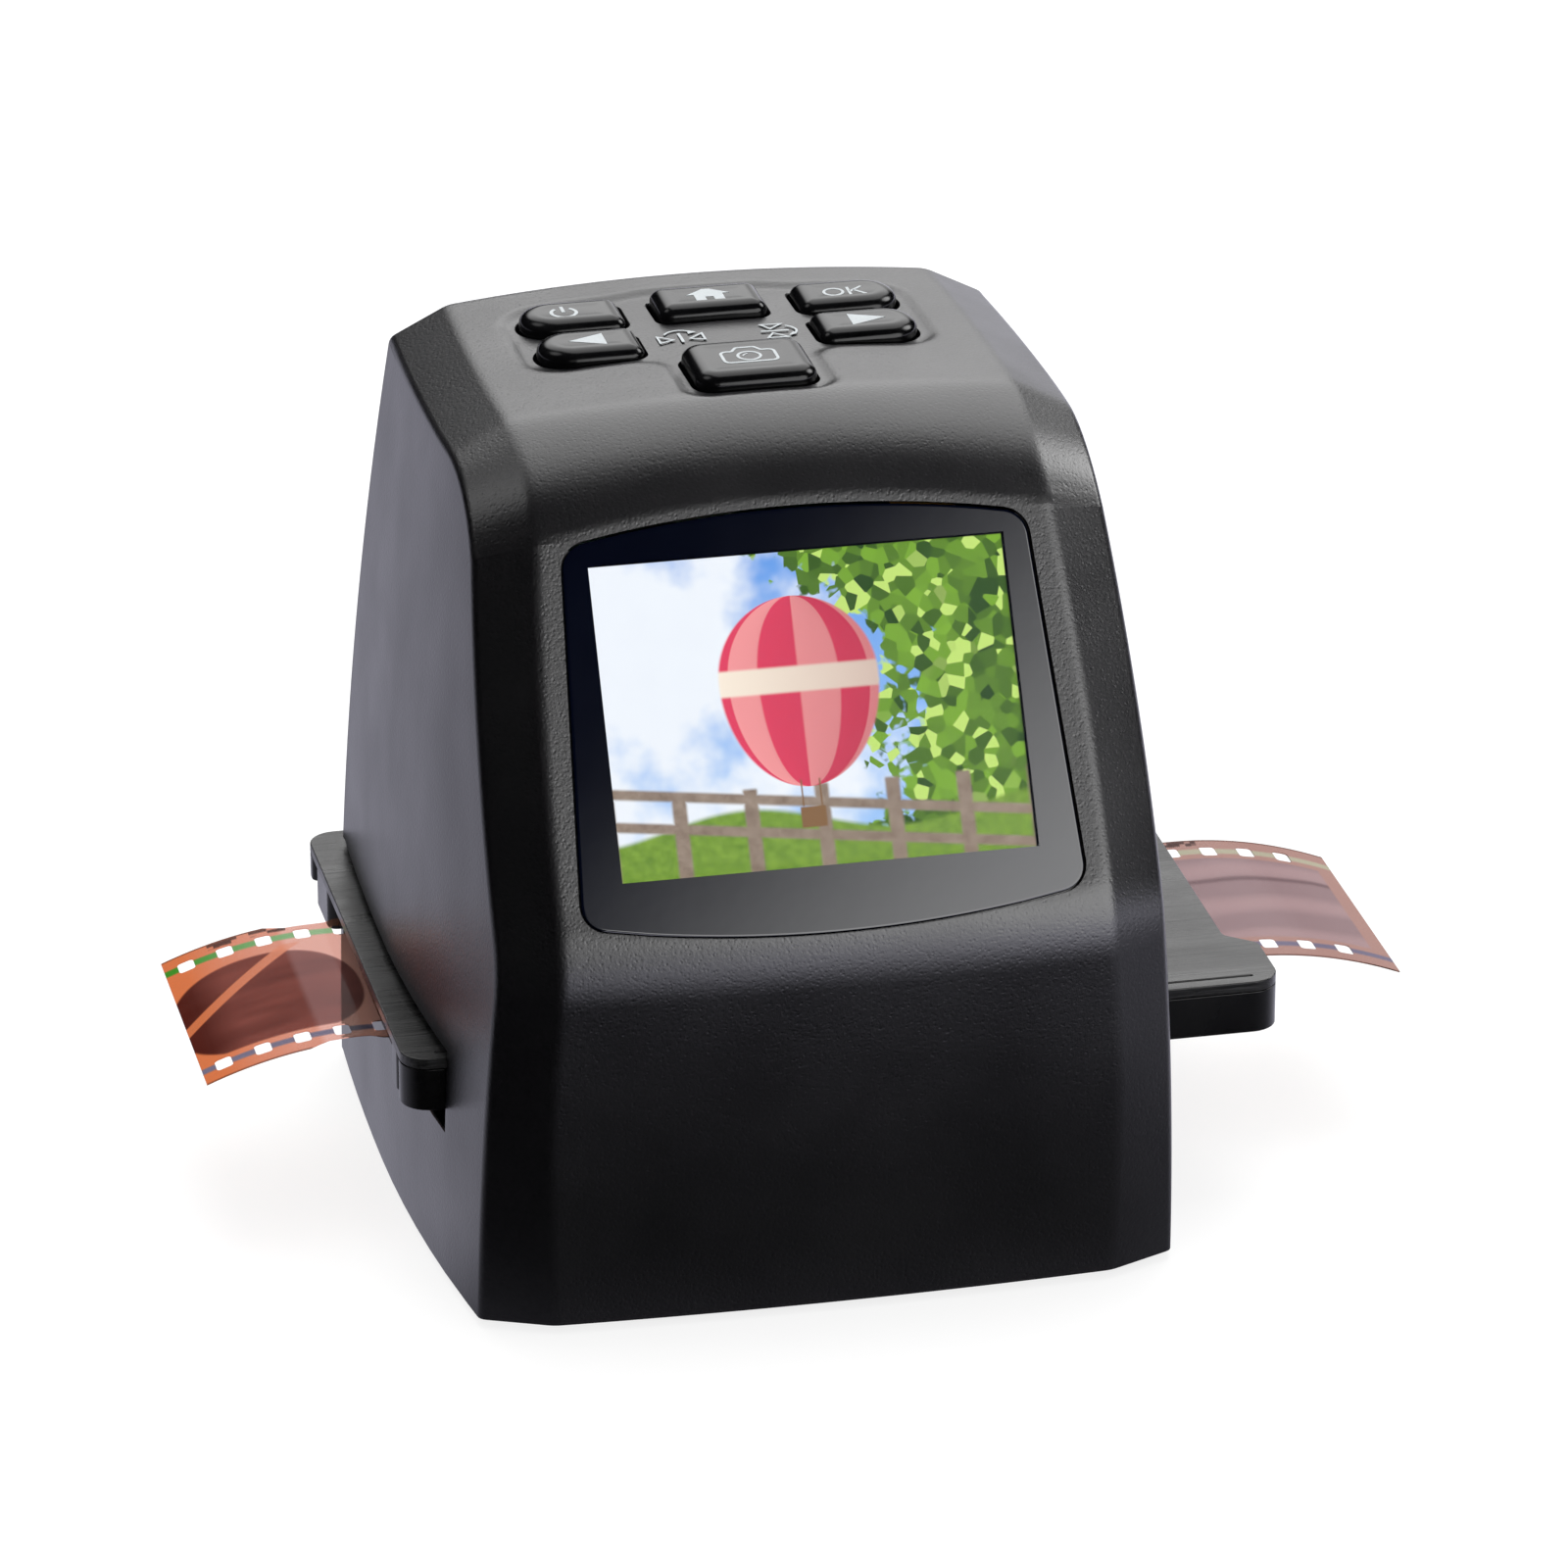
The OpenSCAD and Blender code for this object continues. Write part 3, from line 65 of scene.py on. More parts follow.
TRAY_LEFT, TRAY_RIGHT, TRAY_STEP, TRAY_FRONT, TRAY_REAR = 47.6, 58.6, 3.6, 24.6, 43.2
TRAY_Z, TRAY_TOP, PLATE_T, TRAY_CORNER_R = 20.8, 27.4, 1.3, 3.4
GATE_L, GATE_W, GATE_RIM = 36.6, 24.6, 2.0
POST_W, POST_SET, POST_LIFT, LOBE_R, LOBE_GAP = 5.0, 1.7, 2.2, 1.2, 0.8
LOBES = ((37.4, 28.4), (-14.2, -18.8))
SLOT_LOW, SLOT_TOP, SLOT_FRONT = 18.4, 28.5, 25.3
FOOT_H = 1.2


# ---- plain geometry ----

def unit(v):
    size = math.hypot(*v)
    return tuple(c / size for c in v)


def add(*vectors):
    return tuple(map(sum, zip(*vectors)))


def times(v, k):
    return tuple(c * k for c in v)


def lerp(a, b, t):
    return tuple(x + (y - x) * t for x, y in zip(a, b))


def smooth(t):
    t = min(1.0, max(0.0, t))
    return t * t * (3 - 2 * t)


def corner(a, b, c, r, n):
    """Arc of radius r that rounds the corner b between a and c."""
    u, w = unit((a[0] - b[0], a[1] - b[1])), unit((c[0] - b[0], c[1] - b[1]))
    half = math.acos(max(-1, min(1, u[0] * w[0] + u[1] * w[1]))) / 2
    m = add(b, times(unit(add(u, w)), r / math.sin(half)))
    p = add(b, times(u, r / math.tan(half)))
    start = math.atan2(p[1] - m[1], p[0] - m[0])
    cross = (b[0] - a[0]) * (c[1] - b[1]) - (b[1] - a[1]) * (c[0] - b[0])
    turn = math.copysign(math.pi - 2 * half, cross)
    return [(m[0] + r * math.cos(start + turn * k / n), m[1] + r * math.sin(start + turn * k / n))
            for k in range(n + 1)]


def rounded(points, radii, n=6):
    """Closed outline whose corner i is rounded with radii[i]."""
    count = len(points)
    out = []
    for i, r in enumerate(radii):
        if r == 0:
            out.append(points[i])
        else:
            out += corner(points[i - 1], points[i], points[(i + 1) % count], r, n)
    return out


def rect(x0, y0, x1, y1):
    return [(x0, y0), (x1, y0), (x1, y1), (x0, y1)]


def split_edges(points, step):
    """The same closed outline with no edge longer than step."""
    out = []
    for i, a in enumerate(points):
        b = points[(i + 1) % len(points)]
        n = max(1, math.ceil(math.dist(a, b) / step))
        out += [lerp(a, b, k / n) for k in range(n)]
    return out


class Form:
    """Points and faces of one mesh, in millimetres, collected part by part."""

    def __init__(self):
        self.points, self.faces, self.kinds = [], [], []

    def face(self, indices, kind=0):
        self.faces.append(tuple(indices))
        self.kinds.append(kind)

    def loft(self, rings, cap_start=True, cap_end=True, closed=True, kind=0):
        """Joins rings of equally many points, each to the next."""
        base, count = len(self.points), len(rings[0])
        for ring in rings:
            self.points += ring
        for i in range(len(rings) - 1):
            for k in range(count if closed else count - 1):
                a, b = base + i * count + k, base + i * count + (k + 1) % count
                self.face((a, b, b + count, a + count), kind)
        if cap_start:
            self.face(range(base + count - 1, base - 1, -1), kind)
        if cap_end:
            end = base + (len(rings) - 1) * count
            self.face(range(end, end + count), kind)

    def prism(self, outline, z0, z1, kind=0):
        self.loft([[(x, y, z) for x, y in outline] for z in (z0, z1)], kind=kind)

    def block(self, low, high):
        self.prism(rect(low[0], low[1], high[0], high[1]), low[2], high[2])


def to_object(name, form, place=None, materials=(), sharp=35, recalc=True):
    """A mesh object from a form. place turns a point of the form into one of the row frame."""
    mesh = bpy.data.meshes.new(name)
    points = form.points if place is None else [place(*p) for p in form.points]
    mesh.from_pydata([times(p, MM) for p in points], [], form.faces)
    mesh.polygons.foreach_set("material_index", form.kinds)
    obj = bpy.data.objects.new(name, mesh)
    scene.collection.objects.link(obj)
    for m in materials:
        mesh.materials.append(m)
    if recalc:
        clean(obj)
    shade(obj, sharp)
    return obj


def clean(obj, merge=1e-7):
    """Joins double points and turns every face outward."""
    work = bmesh.new()
    work.from_mesh(obj.data)
    bmesh.ops.remove_doubles(work, verts=work.verts, dist=merge)
    bmesh.ops.dissolve_degenerate(work, edges=work.edges, dist=merge)
    bmesh.ops.recalc_face_normals(work, faces=work.faces)
    work.to_mesh(obj.data)
    work.free()


def shade(obj, sharp):
    mesh = obj.data
    mesh.polygons.foreach_set("use_smooth", [True] * len(mesh.polygons))
    mesh.set_sharp_from_angle(angle=math.radians(sharp))
    mesh.update()


def bake(obj):
    """Applies the modifiers of obj."""
    graph = bpy.context.evaluated_depsgraph_get()
    mesh = bpy.data.meshes.new_from_object(obj.evaluated_get(graph))
    old, obj.data = obj.data, mesh
    obj.modifiers.clear()
    bpy.data.meshes.remove(old)


def carve(obj, *cutters, union=False):
    """Cuts each cutter out of obj, or joins it on, and removes the cutter."""
    for cutter in cutters:
        step = obj.modifiers.new("carve", "BOOLEAN")
        step.object, step.solver = cutter, "EXACT"
        step.operation = "UNION" if union else "DIFFERENCE"
        bake(obj)
        bpy.data.objects.remove(cutter)
    return obj


def bevel(obj, width, segments=3, angle=30):
    """Rounds the edges of obj that are sharper than angle."""
    step = obj.modifiers.new("bevel", "BEVEL")
    step.width, step.segments = width * MM, segments
    step.limit_method, step.angle_limit = "ANGLE", math.radians(angle)
    step.use_clamp_overlap, step.miter_outer = True, "MITER_ARC"
    bake(obj)
    return obj


def flow(obj):
    """Weighs the normals by face size, so that flat faces stay flat beside small ones."""
    step = obj.modifiers.new("flow", "WEIGHTED_NORMAL")
    step.keep_sharp, step.weight = True, 50
    bake(obj)
    return obj


def fit(obj, body, replaces=()):
    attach(obj, body)
    if replaces:
        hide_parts(*replaces)
    return obj


# ---- materials ----

class Paint:
    """A material with one Principled shader and short calls for its nodes."""

    def __init__(self, name, **values):
        self.material = bpy.data.materials.new(name)
        self.material.use_nodes = True
        self.tree = self.material.node_tree
        self.shader = self.tree.nodes["Principled BSDF"]
        self.set(**values)
        self.place = self.tree.nodes.new("ShaderNodeTexCoord").outputs["Object"]

    def set(self, **values):
        for key, value in values.items():
            socket = self.shader.inputs[key.replace("_", " ").title().replace("Ior", "IOR")]
            if isinstance(value, bpy.types.NodeSocket):
                self.tree.links.new(value, socket)
            else:
                socket.default_value = (*value, 1) if isinstance(value, tuple) else value

    def join(self, value, socket):
        if isinstance(value, bpy.types.NodeSocket):
            self.tree.links.new(value, socket)
        elif isinstance(value, tuple) and len(value) == 3 and socket.type == "RGBA":
            socket.default_value = (*value, 1)
        else:
            socket.default_value = value

    def math(self, operation, *values):
        made = self.tree.nodes.new("ShaderNodeMath")
        made.operation = operation
        for value, socket in zip(values, made.inputs):
            self.join(value, socket)
        return made.outputs[0]

    def stretch(self, x, y, z, place=None):
        """The place with each axis scaled."""
        made = self.tree.nodes.new("ShaderNodeMapping")
        self.join(place or self.place, made.inputs["Vector"])
        made.inputs["Scale"].default_value = (x, y, z)
        return made.outputs[0]

    def along(self, direction, start=(0, 0, 0)):
        """Distance in millimetres from start along a direction."""
        less = self.tree.nodes.new("ShaderNodeVectorMath")
        less.operation = "SUBTRACT"
        self.join(self.place, less.inputs[0])
        less.inputs[1].default_value = times(start, MM)
        dot = self.tree.nodes.new("ShaderNodeVectorMath")
        dot.operation = "DOT_PRODUCT"
        self.tree.links.new(less.outputs[0], dot.inputs[0])
        dot.inputs[1].default_value = times(direction, 1 / MM)
        return dot.outputs["Value"]

    def plane(self, x, y):
        made = self.tree.nodes.new("ShaderNodeCombineXYZ")
        self.join(x, made.inputs[0])
        self.join(y, made.inputs[1])
        return made.outputs[0]

    def noise(self, grain, detail=2.0, rough=0.5, place=None, unit_mm=True):
        """Noise whose features are about grain millimetres across."""
        made = self.tree.nodes.new("ShaderNodeTexNoise")
        self.join(place or self.place, made.inputs["Vector"])
        made.inputs["Scale"].default_value = (1 / MM if unit_mm else 1) / grain
        made.inputs["Detail"].default_value = detail
        made.inputs["Roughness"].default_value = rough
        return made.outputs["Fac"]

    def cells(self, grain, place=None, output="Distance", unit_mm=True):
        made = self.tree.nodes.new("ShaderNodeTexVoronoi")
        self.join(place or self.place, made.inputs["Vector"])
        made.inputs["Scale"].default_value = (1 / MM if unit_mm else 1) / grain
        return made.outputs[output]

    def remap(self, value, from_low, from_high, low=0.0, high=1.0, soft=False):
        made = self.tree.nodes.new("ShaderNodeMapRange")
        made.interpolation_type = "SMOOTHSTEP" if soft else "LINEAR"
        for key, item in zip(("Value", "From Min", "From Max", "To Min", "To Max"),
                             (value, from_low, from_high, low, high)):
            self.join(item, made.inputs[key])
        return made.outputs[0]

    def mix(self, share, a, b):
        made = self.tree.nodes.new("ShaderNodeMix")
        made.data_type = "RGBA"
        self.join(share, made.inputs[0])
        self.join(a, made.inputs[6])
        self.join(b, made.inputs[7])
        return made.outputs[2]

    def bump(self, height, depth, under=None):
        """Relief of the given depth in millimetres."""
        made = self.tree.nodes.new("ShaderNodeBump")
        made.inputs["Distance"].default_value = depth * MM
        made.inputs["Strength"].default_value = 1.0
        self.join(height, made.inputs["Height"])
        if under is not None:
            self.join(under, made.inputs["Normal"])
        self.set(normal=made.outputs[0])
        return made.outputs[0]


def moulded(name, dark, light, roughness, grain=0.35, depth=0.01, spread=0.06, blotch=9.0,
            metallic=0.0, **values):
    """Moulded or plated surface: a fine grain, and slow changes of tone and gloss."""
    paint = Paint(name, metallic=metallic, **values)
    slow = paint.noise(blotch, 3.0)
    fine = paint.noise(grain, 2.0)
    share = paint.math("ADD", paint.math("MULTIPLY", slow, 0.6), paint.math("MULTIPLY", fine, 0.4))
    paint.set(base_color=paint.mix(paint.remap(share, 0.3, 0.7), dark, light),
              roughness=paint.remap(slow, 0.3, 0.7, roughness - spread, roughness + spread))
    paint.bump(fine, depth)
    return paint


def lined(name, dark, light, roughness, gap=0.28, depth=0.012, metallic=0.0, **values):
    """Satin surface with fine lines along X."""
    paint = Paint(name, metallic=metallic, **values)
    lines = paint.noise(gap, 3.0, 0.65, paint.stretch(0.018, 1, 1))
    slow = paint.noise(6.0, 2.0, place=paint.stretch(0.25, 1, 1))
    paint.set(base_color=paint.mix(paint.remap(lines, 0.3, 0.7), dark, light),
              roughness=paint.remap(slow, 0.3, 0.7, roughness - 0.06, roughness + 0.08))
    paint.bump(lines, depth)
    return paint


def casing_paint():
    paint = Paint("casing_black", specular_ior_level=0.5)
    slow = paint.noise(14.0, 2.0)
    grain = paint.noise(0.44, 2.0, 0.6)
    pits = paint.remap(paint.cells(0.55), 0.05, 0.45, soft=True)
    relief = paint.math("ADD", paint.math("MULTIPLY", grain, 0.7), paint.math("MULTIPLY", pits, 0.3))
    paint.set(base_color=paint.mix(paint.remap(grain, 0.35, 0.65), (0.0010, 0.0010, 0.0015),
                                   (0.0045, 0.0040, 0.0050)),
              roughness=paint.remap(slow, 0.3, 0.7, 0.31, 0.36))
    paint.bump(relief, 0.04)
    return paint.material


SCREEN_UP = (0.0, math.sin(SCREEN_TILT), math.cos(SCREEN_TILT))
SCREEN_OUT = (0.0, -math.cos(SCREEN_TILT), math.sin(SCREEN_TILT))
SCREEN_MIDDLE = (0.0, -SCREEN_Y, SCREEN_Z)


def on_screen(u, v, w):
    """A point of the screen's own frame: across, up the slope and out of the screen."""
    return add(SCREEN_MIDDLE, (u, 0, 0), times(SCREEN_UP, v), times(SCREEN_OUT, w))


def picture_paint():
    """A bright garden view with a striped balloon, a hedge and a fence, drawn with nodes."""
    paint = Paint("picture", roughness=0.35, specular_ior_level=0.0)
    u, v = paint.along((1, 0, 0)), paint.along(SCREEN_UP, SCREEN_MIDDLE)
    flat = paint.plane(u, v)

    def shape(operation, *values):
        return paint.math(operation, *values)

    def band(value, low, high, soft=0.25):
        up = paint.remap(value, low - soft, low + soft, soft=True)
        down = paint.remap(value, high - soft, high + soft, 1.0, 0.0, soft=True)
        return shape("MULTIPLY", up, down)

    cloud = paint.noise(15.0, 4.0, 0.5, flat, unit_mm=False)
    cloud = shape("SUBTRACT", cloud, shape("MULTIPLY", u, 0.008))
    sky = paint.mix(paint.remap(v, -18, 18), (0.36, 0.60, 0.95), (0.13, 0.34, 0.82))
    color = paint.mix(paint.remap(cloud, 0.42, 0.62, soft=True), sky, (0.88, 0.93, 0.99))

    # Leaves of the tree at the right and along the top
    leaf = paint.cells(1.5, flat, "Color", unit_mm=False)
    tone = paint.tree.nodes.new("ShaderNodeSeparateColor")
    paint.join(leaf, tone.inputs[0])
    clump = paint.noise(5.5, 3.0, 0.6, flat, unit_mm=False)
    greens = paint.mix(tone.outputs[0], (0.012, 0.06, 0.006), (0.20, 0.42, 0.03))
    greens = paint.mix(paint.remap(tone.outputs[1], 0.80, 0.84), greens, (0.55, 0.78, 0.18))
    reach = shape("ADD", shape("MULTIPLY", clump, 22.0), shape("MULTIPLY", u, 0.75))
    reach = shape("ADD", reach, shape("MULTIPLY", shape("MAXIMUM", shape("SUBTRACT", v, 8.0), 0.0), 0.9))
    edge = shape("ADD", reach, shape("MULTIPLY", tone.outputs[2], 4.0))
    color = paint.mix(paint.remap(edge, 19.2, 20.0), color, greens)

    # Lawn and hedge at the foot
    swell = shape("MULTIPLY", shape("SINE", shape("MULTIPLY", u, 0.17)), 1.6)
    low = shape("ADD", v, swell)
    lawn = paint.mix(paint.noise(1.2, 3.0, 0.6, flat, unit_mm=False), (0.05, 0.16, 0.01), (0.30, 0.48, 0.06))
    color = paint.mix(paint.remap(low, -13.2, -12.4, 1.0, 0.0, soft=True), color, lawn)

    # Fence: posts and two rails
    wood = paint.mix(paint.noise(1.6, 3.0, 0.6, flat, unit_mm=False), (0.12, 0.075, 0.05), (0.45, 0.36, 0.29))
    tilt = shape("ADD", v, shape("MULTIPLY", u, 0.12))
    rails = shape("MAXIMUM", band(tilt, -11.6, -10.4), band(tilt, -15.4, -14.2))
    step = shape("WRAP", u, -4.2, 4.2)
    posts = shape("MULTIPLY", band(step, -0.85, 0.85), paint.remap(v, -9.0, -8.6, 1.0, 0.0))
    color = paint.mix(shape("MAXIMUM", rails, posts), color, wood)

    # Balloon with its basket
    bx, by, radius = shape("SUBTRACT", u, -1.2), shape("SUBTRACT", v, 3.6), 9.6
    below = shape("MAXIMUM", shape("MULTIPLY", by, -1.0), 0.0)
    above = shape("MAXIMUM", by, 0.0)
    drop = shape("ADD", shape("POWER", shape("DIVIDE", above, radius), 2.0),
                 shape("POWER", shape("DIVIDE", below, radius * 1.32), 2.0))
    half = shape("MULTIPLY", radius, shape("SQRT", shape("MAXIMUM", shape("SUBTRACT", 1.0, drop), 0.0)))
    inside = shape("SUBTRACT", half, shape("ABSOLUTE", bx))
    turn = shape("DIVIDE", bx, shape("MAXIMUM", half, 0.1))
    angle = shape("ARCSINE", shape("MINIMUM", shape("MAXIMUM", turn, -1.0), 1.0))
    gore = shape("SINE", shape("MULTIPLY", angle, 6.0))
    cloth = paint.mix(paint.remap(gore, -0.1, 0.1), (0.78, 0.05, 0.12), (0.93, 0.33, 0.34))
    cloth = paint.mix(band(by, -1.6, 1.4), cloth, (0.97, 0.86, 0.72))
    lit = paint.remap(turn, -1.0, 1.0, 0.25, -0.25)
    cloth = paint.mix(paint.remap(lit, -0.25, 0.25, 0.42, 0.0), cloth, (0.22, 0.01, 0.03))
    color = paint.mix(paint.remap(inside, 0.0, 0.35), color, cloth)
    ropes = shape("MULTIPLY", band(shape("ABSOLUTE", bx), 1.0, 1.18, 0.1), band(by, -15.0, -11.8, 0.1))
    basket = shape("MULTIPLY", band(bx, -1.5, 1.5, 0.12), band(by, -17.4, -15.0, 0.12))
    color = paint.mix(shape("MAXIMUM", ropes, basket), color, (0.23, 0.12, 0.05))

    # The display glass round the picture is dark
    rim = shape("MULTIPLY", band(u, -PICTURE_W / 2, PICTURE_W / 2, 0.03),
                band(v, -PICTURE_H / 2, PICTURE_H / 2, 0.03))
    shown = paint.mix(rim, (0.004, 0.004, 0.006), color)
    paint.set(base_color=paint.mix(rim, (0.004, 0.004, 0.006), (0.02, 0.02, 0.02)),
              emission_color=shown, emission_strength=1.0)
    paint.bump(paint.noise(0.2, 1.0), 0.0004)
    return paint.material


def film_paint():
    """Orange masked negative with dark frames, a green and a grey edge band, and edge codes."""
    paint = Paint("film_negative", transmission_weight=0.9, ior=1.05)
    x, y = paint.along((1, 0, 0)), paint.along((0, 1, 0), (0, FILM_Y, 0))
    flat = paint.plane(x, y)

    def band(value, low, high, soft=0.3):
        up = paint.remap(value, low - soft, low + soft, soft=True)
        down = paint.remap(value, high - soft, high + soft, 1.0, 0.0, soft=True)
        return paint.math("MULTIPLY", up, down)

    def far(value, middle):
        return paint.math("ABSOLUTE", paint.math("SUBTRACT", value, middle))

    # The mask turns paler from x -66 to -57: a painted reflection veil on the curved film.
    mask = paint.mix(paint.remap(x, -66.0, -57.0), (0.47, 0.13, 0.04), (0.48, 0.205, 0.125))
    # From x -54 to the tray the mask is paler and greyer: a painted reflection of the casing side.
    mask = paint.mix(paint.remap(x, -54.6, -53.8), mask, (0.53, 0.29, 0.21))
    mask = paint.mix(paint.remap(x, 20.0, 60.0), mask, (0.28, 0.165, 0.125))
    cloudy = paint.noise(5.0, 3.0, 0.55, paint.stretch(0.25, 1, 1, flat), unit_mm=False)
    image = paint.mix(paint.remap(cloudy, 0.35, 0.65), (0.085, 0.015, 0.008), (0.150, 0.036, 0.022))
    # Near-black at the left end and lighter from x -62.5 on: the lighter part is a painted reflection veil.
    image = paint.mix(paint.remap(x, -66.5, -62.5, 0.85, 0.0), image, (0.045, 0.005, 0.002))
    # The picture is greyer from x -54 on too: the same painted reflection of the casing side.
    image = paint.mix(paint.remap(x, -54.6, -53.8, 0.0, 0.45), image, (0.22, 0.12, 0.10))
    # The picture at the left end: a dark rounded shape with a slanting light beam
    shape = paint.math("ADD", paint.math("POWER", paint.math("DIVIDE", far(x, -58.5), 11.5), 2.4),
                       paint.math("POWER", paint.math("DIVIDE", far(y, -1.5), 12.2), 2.4))
    beam = band(paint.math("SUBTRACT", y, paint.math("MULTIPLY", x, 1.0)), 64.2, 66.6, 0.12)
    left = paint.mix(paint.remap(shape, 0.94, 1.02, soft=True), image, mask)
    left = paint.mix(paint.math("MULTIPLY", beam, 0.85), left, paint.mix(0.5, mask, (0.50, 0.15, 0.05)))
    # Pictures of a hazy landscape further along
    waves = paint.noise(34.0, 2.0, 0.5, flat, unit_mm=False)
    layers = paint.math("ADD", y, paint.math("MULTIPLY", waves, 8.0))
    haze = paint.mix(paint.remap(paint.math("SINE", paint.math("MULTIPLY", layers, 0.62)), -0.4, 0.9),
                     (0.205, 0.140, 0.127), (0.265, 0.180, 0.160))
    haze = paint.mix(band(layers, 9.4, 10.4, 0.6), haze, (0.12, 0.075, 0.07))
    picture = paint.mix(paint.remap(x, -40.0, -38.0), left, haze)
    along = paint.math("WRAP", x, -38.0 + 36.0, -38.0 - 0.5 - 1.5)
    gap = paint.math("MULTIPLY", band(along, -40.0, -38.0, 0.1), paint.remap(x, 60.0, 61.0, 1.0, 0.0))
    gap = paint.math("MAXIMUM", gap, paint.remap(x, 75.8, 76.1))
    frames = paint.math("MULTIPLY", paint.math("SUBTRACT", 1.0, gap), band(y, -12.0, 12.0, 0.15))
    color = paint.mix(frames, mask, picture)
    # Bands beside the perforations
    middle = FILM_W / 2 - PERF_EDGE - PERF_W / 2
    # The green band turns paler from x -66 to -50: the same painted reflection veil.
    reflection_veil = paint.remap(x, -66.0, -50.0)
    green = paint.mix(reflection_veil, (0.035, 0.190, 0.012), (0.200, 0.330, 0.150))
    green = paint.mix(paint.remap(x, 40.0, 60.0), green, (0.30, 0.28, 0.18))
    color = paint.mix(band(y, middle - 0.75, middle + 0.75, 0.1), color, green)
    color = paint.mix(band(y, -middle - 0.65, -middle + 0.65, 0.1), color, (0.125, 0.110, 0.140))
    # Edge code: dark blocks in two rows along the rear edge
    cell = paint.math("FLOOR", paint.math("MULTIPLY", x, 1.35))
    row = paint.math("FLOOR", paint.math("MULTIPLY", y, 1.5))
    chance = paint.tree.nodes.new("ShaderNodeTexWhiteNoise")
    chance.noise_dimensions = "2D"
    paint.join(paint.plane(cell, row), chance.inputs["Vector"])
    code = paint.math("MULTIPLY", band(y, 15.9, 17.3, 0.05), paint.remap(chance.outputs["Value"], 0.44, 0.46))
    place = paint.math("WRAP", paint.math("ADD", x, 58.0), 19.0, -19.0)
    code = paint.math("MULTIPLY", code, band(place, -5.2, 5.4, 0.05))
    color = paint.mix(paint.math("MULTIPLY", code, 0.9), color, (0.030, 0.012, 0.010))
    rim = paint.remap(paint.math("ABSOLUTE", y), FILM_W / 2 - 0.22, FILM_W / 2 - 0.08)
    color = paint.mix(paint.math("MULTIPLY", rim, 0.8), color, (0.05, 0.015, 0.008))
    paint.set(base_color=color, roughness=paint.remap(paint.noise(8.0), 0.3, 0.7, 0.06, 0.12))
    paint.bump(paint.noise(5.0, 1.0), 0.03)
    return paint.material


def board_paint():
    """Solder mask with copper tracks that show through."""
    paint = Paint("board", roughness=0.35)
    tracks = paint.remap(paint.cells(2.2), 0.42, 0.46)
    pads = paint.remap(paint.cells(3.4), 0.13, 0.10)
    color = paint.mix(tracks, (0.010, 0.075, 0.030), (0.020, 0.140, 0.055))
    paint.set(base_color=paint.mix(pads, color, (0.55, 0.50, 0.38)))
    paint.bump(tracks, 0.03)
    return paint.material


CASING = casing_paint()
WINDOW = moulded("window_black", (0.0012, 0.0020, 0.0070), (0.0020, 0.0032, 0.0100), 0.05, 3.0, 0.0008,
                 0.01, 20.0, specular_ior_level=0.42).material
CLEAR = moulded("window_clear", (0.97, 0.97, 0.98), (1.0, 1.0, 1.0), 0.03, 3.0, 0.0004, 0.01, 20.0,
                transmission_weight=1.0, ior=1.12).material
KEYS = moulded("key_gloss", (0.0012, 0.0012, 0.0014), (0.004, 0.004, 0.0045), 0.17, 0.6, 0.0025, 0.03,
               specular_ior_level=0.16).material
PRINT = moulded("symbol_grey", (0.42, 0.45, 0.46), (0.52, 0.55, 0.57), 0.5, 0.3, 0.002,
                specular_ior_level=0.1).material
TRAY = lined("tray_black", (0.001, 0.001, 0.001), (0.030, 0.030, 0.030), 0.30, 0.42, 0.07,
             specular_ior_level=0.22).material
TRAY_SIDE = moulded("tray_side_black", (0.001, 0.001, 0.001), (0.005, 0.005, 0.005), 0.28, 0.6, 0.006,
                    specular_ior_level=0.2).material
STEEL = moulded("screw_steel", (0.42, 0.43, 0.45), (0.62, 0.63, 0.65), 0.33, 0.5, 0.004,
                metallic=1.0).material
SHEET = lined("pressed_sheet", (0.50, 0.50, 0.52), (0.66, 0.66, 0.68), 0.35, metallic=1.0).material
BOARD = board_paint()
CHIP = moulded("chip_black", (0.016, 0.016, 0.017), (0.035, 0.035, 0.037), 0.55, 0.15, 0.006).material
GUIDE = moulded("guide_black", (0.012, 0.012, 0.012), (0.028, 0.028, 0.028), 0.5).material
WHITE = moulded("white_plastic", (0.74, 0.74, 0.73), (0.84, 0.84, 0.83), 0.5).material
LED = moulded("led_resin", (0.82, 0.66, 0.25), (0.95, 0.85, 0.45), 0.25, subsurface_weight=0.2).material
OPAL = moulded("opal_diffuser", (0.82, 0.82, 0.82), (0.92, 0.92, 0.92), 0.45, subsurface_weight=0.1).material
OPTIC = moulded("optic_black", (0.004, 0.004, 0.004), (0.012, 0.012, 0.012), 0.7, 0.25, 0.015).material
LENS = moulded("coated_lens", (0.80, 0.86, 0.98), (0.92, 0.95, 1.0), 0.04, 4.0, 0.0004, 0.01,
               transmission_weight=0.95, ior=1.52).material
SENSOR = moulded("sensor_glass", (0.02, 0.02, 0.05), (0.06, 0.05, 0.11), 0.12, 0.2, 0.001).material
AMBER = lined("ribbon_amber", (0.30, 0.12, 0.02), (0.55, 0.27, 0.06), 0.3, 0.5).material
LEAD = moulded("lead_red", (0.42, 0.02, 0.015), (0.6, 0.05, 0.03), 0.4).material
RUBBER = moulded("rubber_black", (0.010, 0.010, 0.010), (0.022, 0.022, 0.022), 0.75, 0.2, 0.02).material
PICTURE = picture_paint()
FILM = film_paint()

